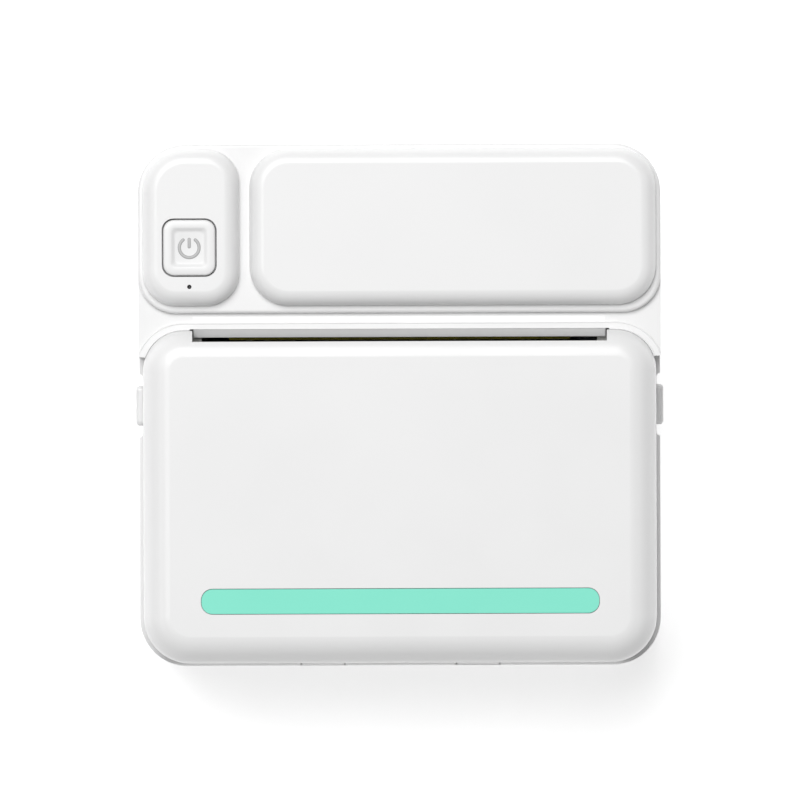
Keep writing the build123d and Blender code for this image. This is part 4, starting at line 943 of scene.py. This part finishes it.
class LABELPRINTER_OT_springs(PrinterOperator, bpy.types.Operator):
    """Wind the springs of the buttons and of the print head"""

    bl_idname = "label_printer.springs"
    bl_label = "Springs"

    def build(self):
        for side, fixed_end in (("left", 1), ("right", 0)):
            low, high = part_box(f"{side}_button_spring")
            middle = (low + high) / 2
            ends = [Vector((x, middle.y, middle.z)) for x in (low.x, high.x)]
            piece = self.wind(f"{side}_button", ends[fixed_end], ends[1 - fixed_end])
            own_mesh(piece)
        for side in ("left", "right"):
            low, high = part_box(f"{side}_head_spring")
            middle = (low + high) / 2
            self.wind(f"{side}_head", *(Vector((middle.x, y, middle.z)) for y in (low.y, high.y)))

    def wind(self, place, start, end):
        """Wind one spring in the place of its node."""
        fixings = settings().fixings
        node = f"{place}_spring"
        low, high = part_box(node)
        bm = bmesh.new()
        coil(bm, start, end, (high.z - low.z) / 2 - fixings.wire, fixings.wire, fixings.turns)
        piece = new_piece(f"{place}_coil", bm, "spring_steel", "base", smooth_angle=60)
        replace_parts(piece, node)
        return piece


class LABELPRINTER_OT_board_components(PrinterOperator, bpy.types.Operator):
    """Shape the chips, coils and connectors on the main board"""

    bl_idname = "label_printer.board_components"
    bl_label = "Board components"

    def build(self):
        sizes = settings().board
        bodies = bmesh.new()
        leads = bmesh.new()
        board_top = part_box("board_parts")[0].z
        lead_top = board_top + sizes.lead_height
        for points in solids_of("board_parts"):
            low, high = corners_of(points)
            # The leads reach the solid's outline, and the body stands in from it
            margin = 0.08 * min(high.x - low.x, high.y - low.y)
            body_low = Vector((low.x + margin, low.y + margin, board_top + sizes.body_lift))
            body_high = Vector((high.x - margin, high.y - margin, high.z))
            block(bodies, body_low, body_high, sizes.body_bevel)
            width = body_high.x - body_low.x
            count = int(width / sizes.lead_pitch)
            rows = ((low.y, body_low.y + sizes.lead_overlap), (body_high.y - sizes.lead_overlap, high.y))
            for i in range(count):
                x = body_low.x + (i + 0.5) * width / count
                for start, end in rows:
                    lead_low = Vector((x - sizes.lead_half, start, board_top))
                    block(leads, lead_low, Vector((x + sizes.lead_half, end, lead_top)))
        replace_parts(new_piece("board_components", bodies, "chip_black", "base"), "board_parts")
        new_piece("component_leads", leads, "contact_gold", "base")


class LABELPRINTER_OT_socket_contacts(PrinterOperator, bpy.types.Operator):
    """Lay the gold contacts on the charging socket's tongue"""

    bl_idname = "label_printer.socket_contacts"
    bl_label = "Socket contacts"

    def build(self):
        sizes = settings().board
        low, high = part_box("usb_socket")
        middle = (low + high) / 2
        half = Vector((sizes.contact_half, 0, sizes.contact_thick_half))
        bm = bmesh.new()
        for side in (-1, 1):
            z = middle.z + side * sizes.contact_level
            for i in range(sizes.contacts):
                x = middle.x + (i - (sizes.contacts - 1) / 2) * sizes.contact_pitch
                back, front = Vector((x, middle.y, z)), Vector((x, high.y - sizes.contact_inset, z))
                block(bm, back - half, front + half)
        new_piece("socket_contacts", bm, "contact_gold", "base")


class LABELPRINTER_OT_stage(PrinterOperator, bpy.types.Operator):
    """Set the floor, the light and the camera"""

    bl_idname = "label_printer.stage"
    bl_label = "Stage"

    def build(self):
        scene = bpy.context.scene
        stage = settings().stage
        scene.view_settings.view_transform = "Standard"
        self.floor(stage)
        self.surroundings(scene, stage)
        self.softboxes(scene, stage)
        self.camera(scene, stage)

    def floor(self, stage):
        mesh = bpy.data.meshes.new("floor")
        half = stage.floor_half
        corners = [(-half, -half, 0), (half, -half, 0), (half, half, 0), (-half, half, 0)]
        mesh.from_pydata(corners, [], [(0, 1, 2, 3)])
        floor = bpy.data.objects.new("floor", mesh)
        floor.location.z = -0.02 * MM
        bpy.context.scene.collection.objects.link(floor)
        surface = Surface("white_floor_sweep", IOR=1.45, Roughness=0.9, Emission_Strength=stage.floor_glow)
        surface.shader.inputs["Emission Color"].default_value = (1, 1, 1, 1)
        surface.colour(linear("#FAFAFA"), linear("#F7F7F7"), surface.spread(surface.noise(0.2), 0, 1))
        mesh.materials.append(surface.material)

    def surroundings(self, scene, stage):
        world = bpy.data.worlds.new("white_studio")
        world.use_nodes = True
        world.node_tree.nodes["Background"].inputs["Color"].default_value = (1, 1, 1, 1)
        world.node_tree.nodes["Background"].inputs["Strength"].default_value = stage.sky
        scene.world = world

    def softboxes(self, scene, stage):
        """A large box above, towards the pods and the left, and narrow ones that draw bright edges."""
        large = (stage.overhead_side, stage.overhead_side)
        narrow = (stage.strip_length, stage.strip_width)
        # Each bearing is in degrees from the right, towards the pods
        for name, bearing, tilt, size, brightness in (
            ("overhead_softbox", 115, stage.overhead_tilt, large, stage.overhead),
            ("top_strip", 90, stage.strip_tilt, narrow, 0.4 * stage.strip_light),
            ("left_strip", 180, stage.strip_tilt, narrow, stage.strip_light),
            ("right_strip", 0, stage.strip_tilt, narrow, 0.5 * stage.strip_light),
        ):
            light = bpy.data.lights.new(name, "AREA")
            light.shape = "RECTANGLE"
            light.size, light.size_y = size
            light.energy = brightness * math.pi * size[0] * size[1]
            box = bpy.data.objects.new(name, light)
            turn = Matrix.Rotation(math.radians(bearing - 90), 3, "Z")
            box.location = turn @ Vector((0, math.sin(tilt), math.cos(tilt))) * stage.distance
            box.rotation_euler = (-box.location).to_track_quat("-Z", "Y").to_euler()
            box.visible_camera = False
            scene.collection.objects.link(box)

    def camera(self, scene, stage):
        camera = bpy.data.cameras.new("camera")
        camera.sensor_width = 36.0
        camera.lens = camera.sensor_width * (stage.camera_height - cad_box[1].z) / stage.view_width
        camera.clip_start = 0.01
        camera.clip_end = 20.0
        eye = bpy.data.objects.new("camera", camera)
        eye.location = (stage.view_x, stage.view_y, stage.camera_height)
        eye.rotation_euler = (0, 0, stage.roll)
        scene.collection.objects.link(eye)
        scene.camera = eye


class LABELPRINTER_PT_sidebar(bpy.types.Panel):
    """Sizes, colours and build steps"""

    bl_idname = "LABELPRINTER_PT_sidebar"
    bl_label = "Label printer"
    bl_space_type = "VIEW_3D"
    bl_region_type = "UI"
    bl_category = "Label printer"

    def draw(self, context):
        for group_name in ("case", "inner", "key", "lip", "fixings", "board", "stage"):
            group = getattr(context.scene.label_printer, group_name)
            box = self.layout.box()
            box.label(text=group_name.capitalize())
            for name in group.__annotations__:
                box.prop(group, name)
        for operator in OPERATORS:
            self.layout.operator(operator.bl_idname)


OPERATORS = (
    LABELPRINTER_OT_finishes,
    LABELPRINTER_OT_nodes,
    LABELPRINTER_OT_dished_key,
    LABELPRINTER_OT_power_symbol,
    LABELPRINTER_OT_lip_beads,
    LABELPRINTER_OT_screws,
    LABELPRINTER_OT_springs,
    LABELPRINTER_OT_board_components,
    LABELPRINTER_OT_socket_contacts,
    LABELPRINTER_OT_stage,
)
CLASSES = (
    CaseFinish,
    InnerFinish,
    KeySizes,
    LipSizes,
    FixingSizes,
    BoardSizes,
    StageSetup,
    PrinterSettings,
    *OPERATORS,
    LABELPRINTER_PT_sidebar,
)


def register():
    for item in CLASSES:
        bpy.utils.register_class(item)
    bpy.types.Scene.label_printer = PointerProperty(
        type=PrinterSettings, name="Label printer", description="Sizes and colours of the label printer"
    )


def unregister():
    del bpy.types.Scene.label_printer
    for item in reversed(CLASSES):
        bpy.utils.unregister_class(item)


def main():
    register()
    bpy.ops.label_printer.finishes()
    bpy.ops.label_printer.nodes()
    bpy.ops.label_printer.dished_key()
    bpy.ops.label_printer.power_symbol()
    bpy.ops.label_printer.lip_beads()
    bpy.ops.label_printer.screws()
    bpy.ops.label_printer.springs()
    bpy.ops.label_printer.board_components()
    bpy.ops.label_printer.socket_contacts()
    bpy.ops.label_printer.stage()


if __name__ == "__main__":
    main()
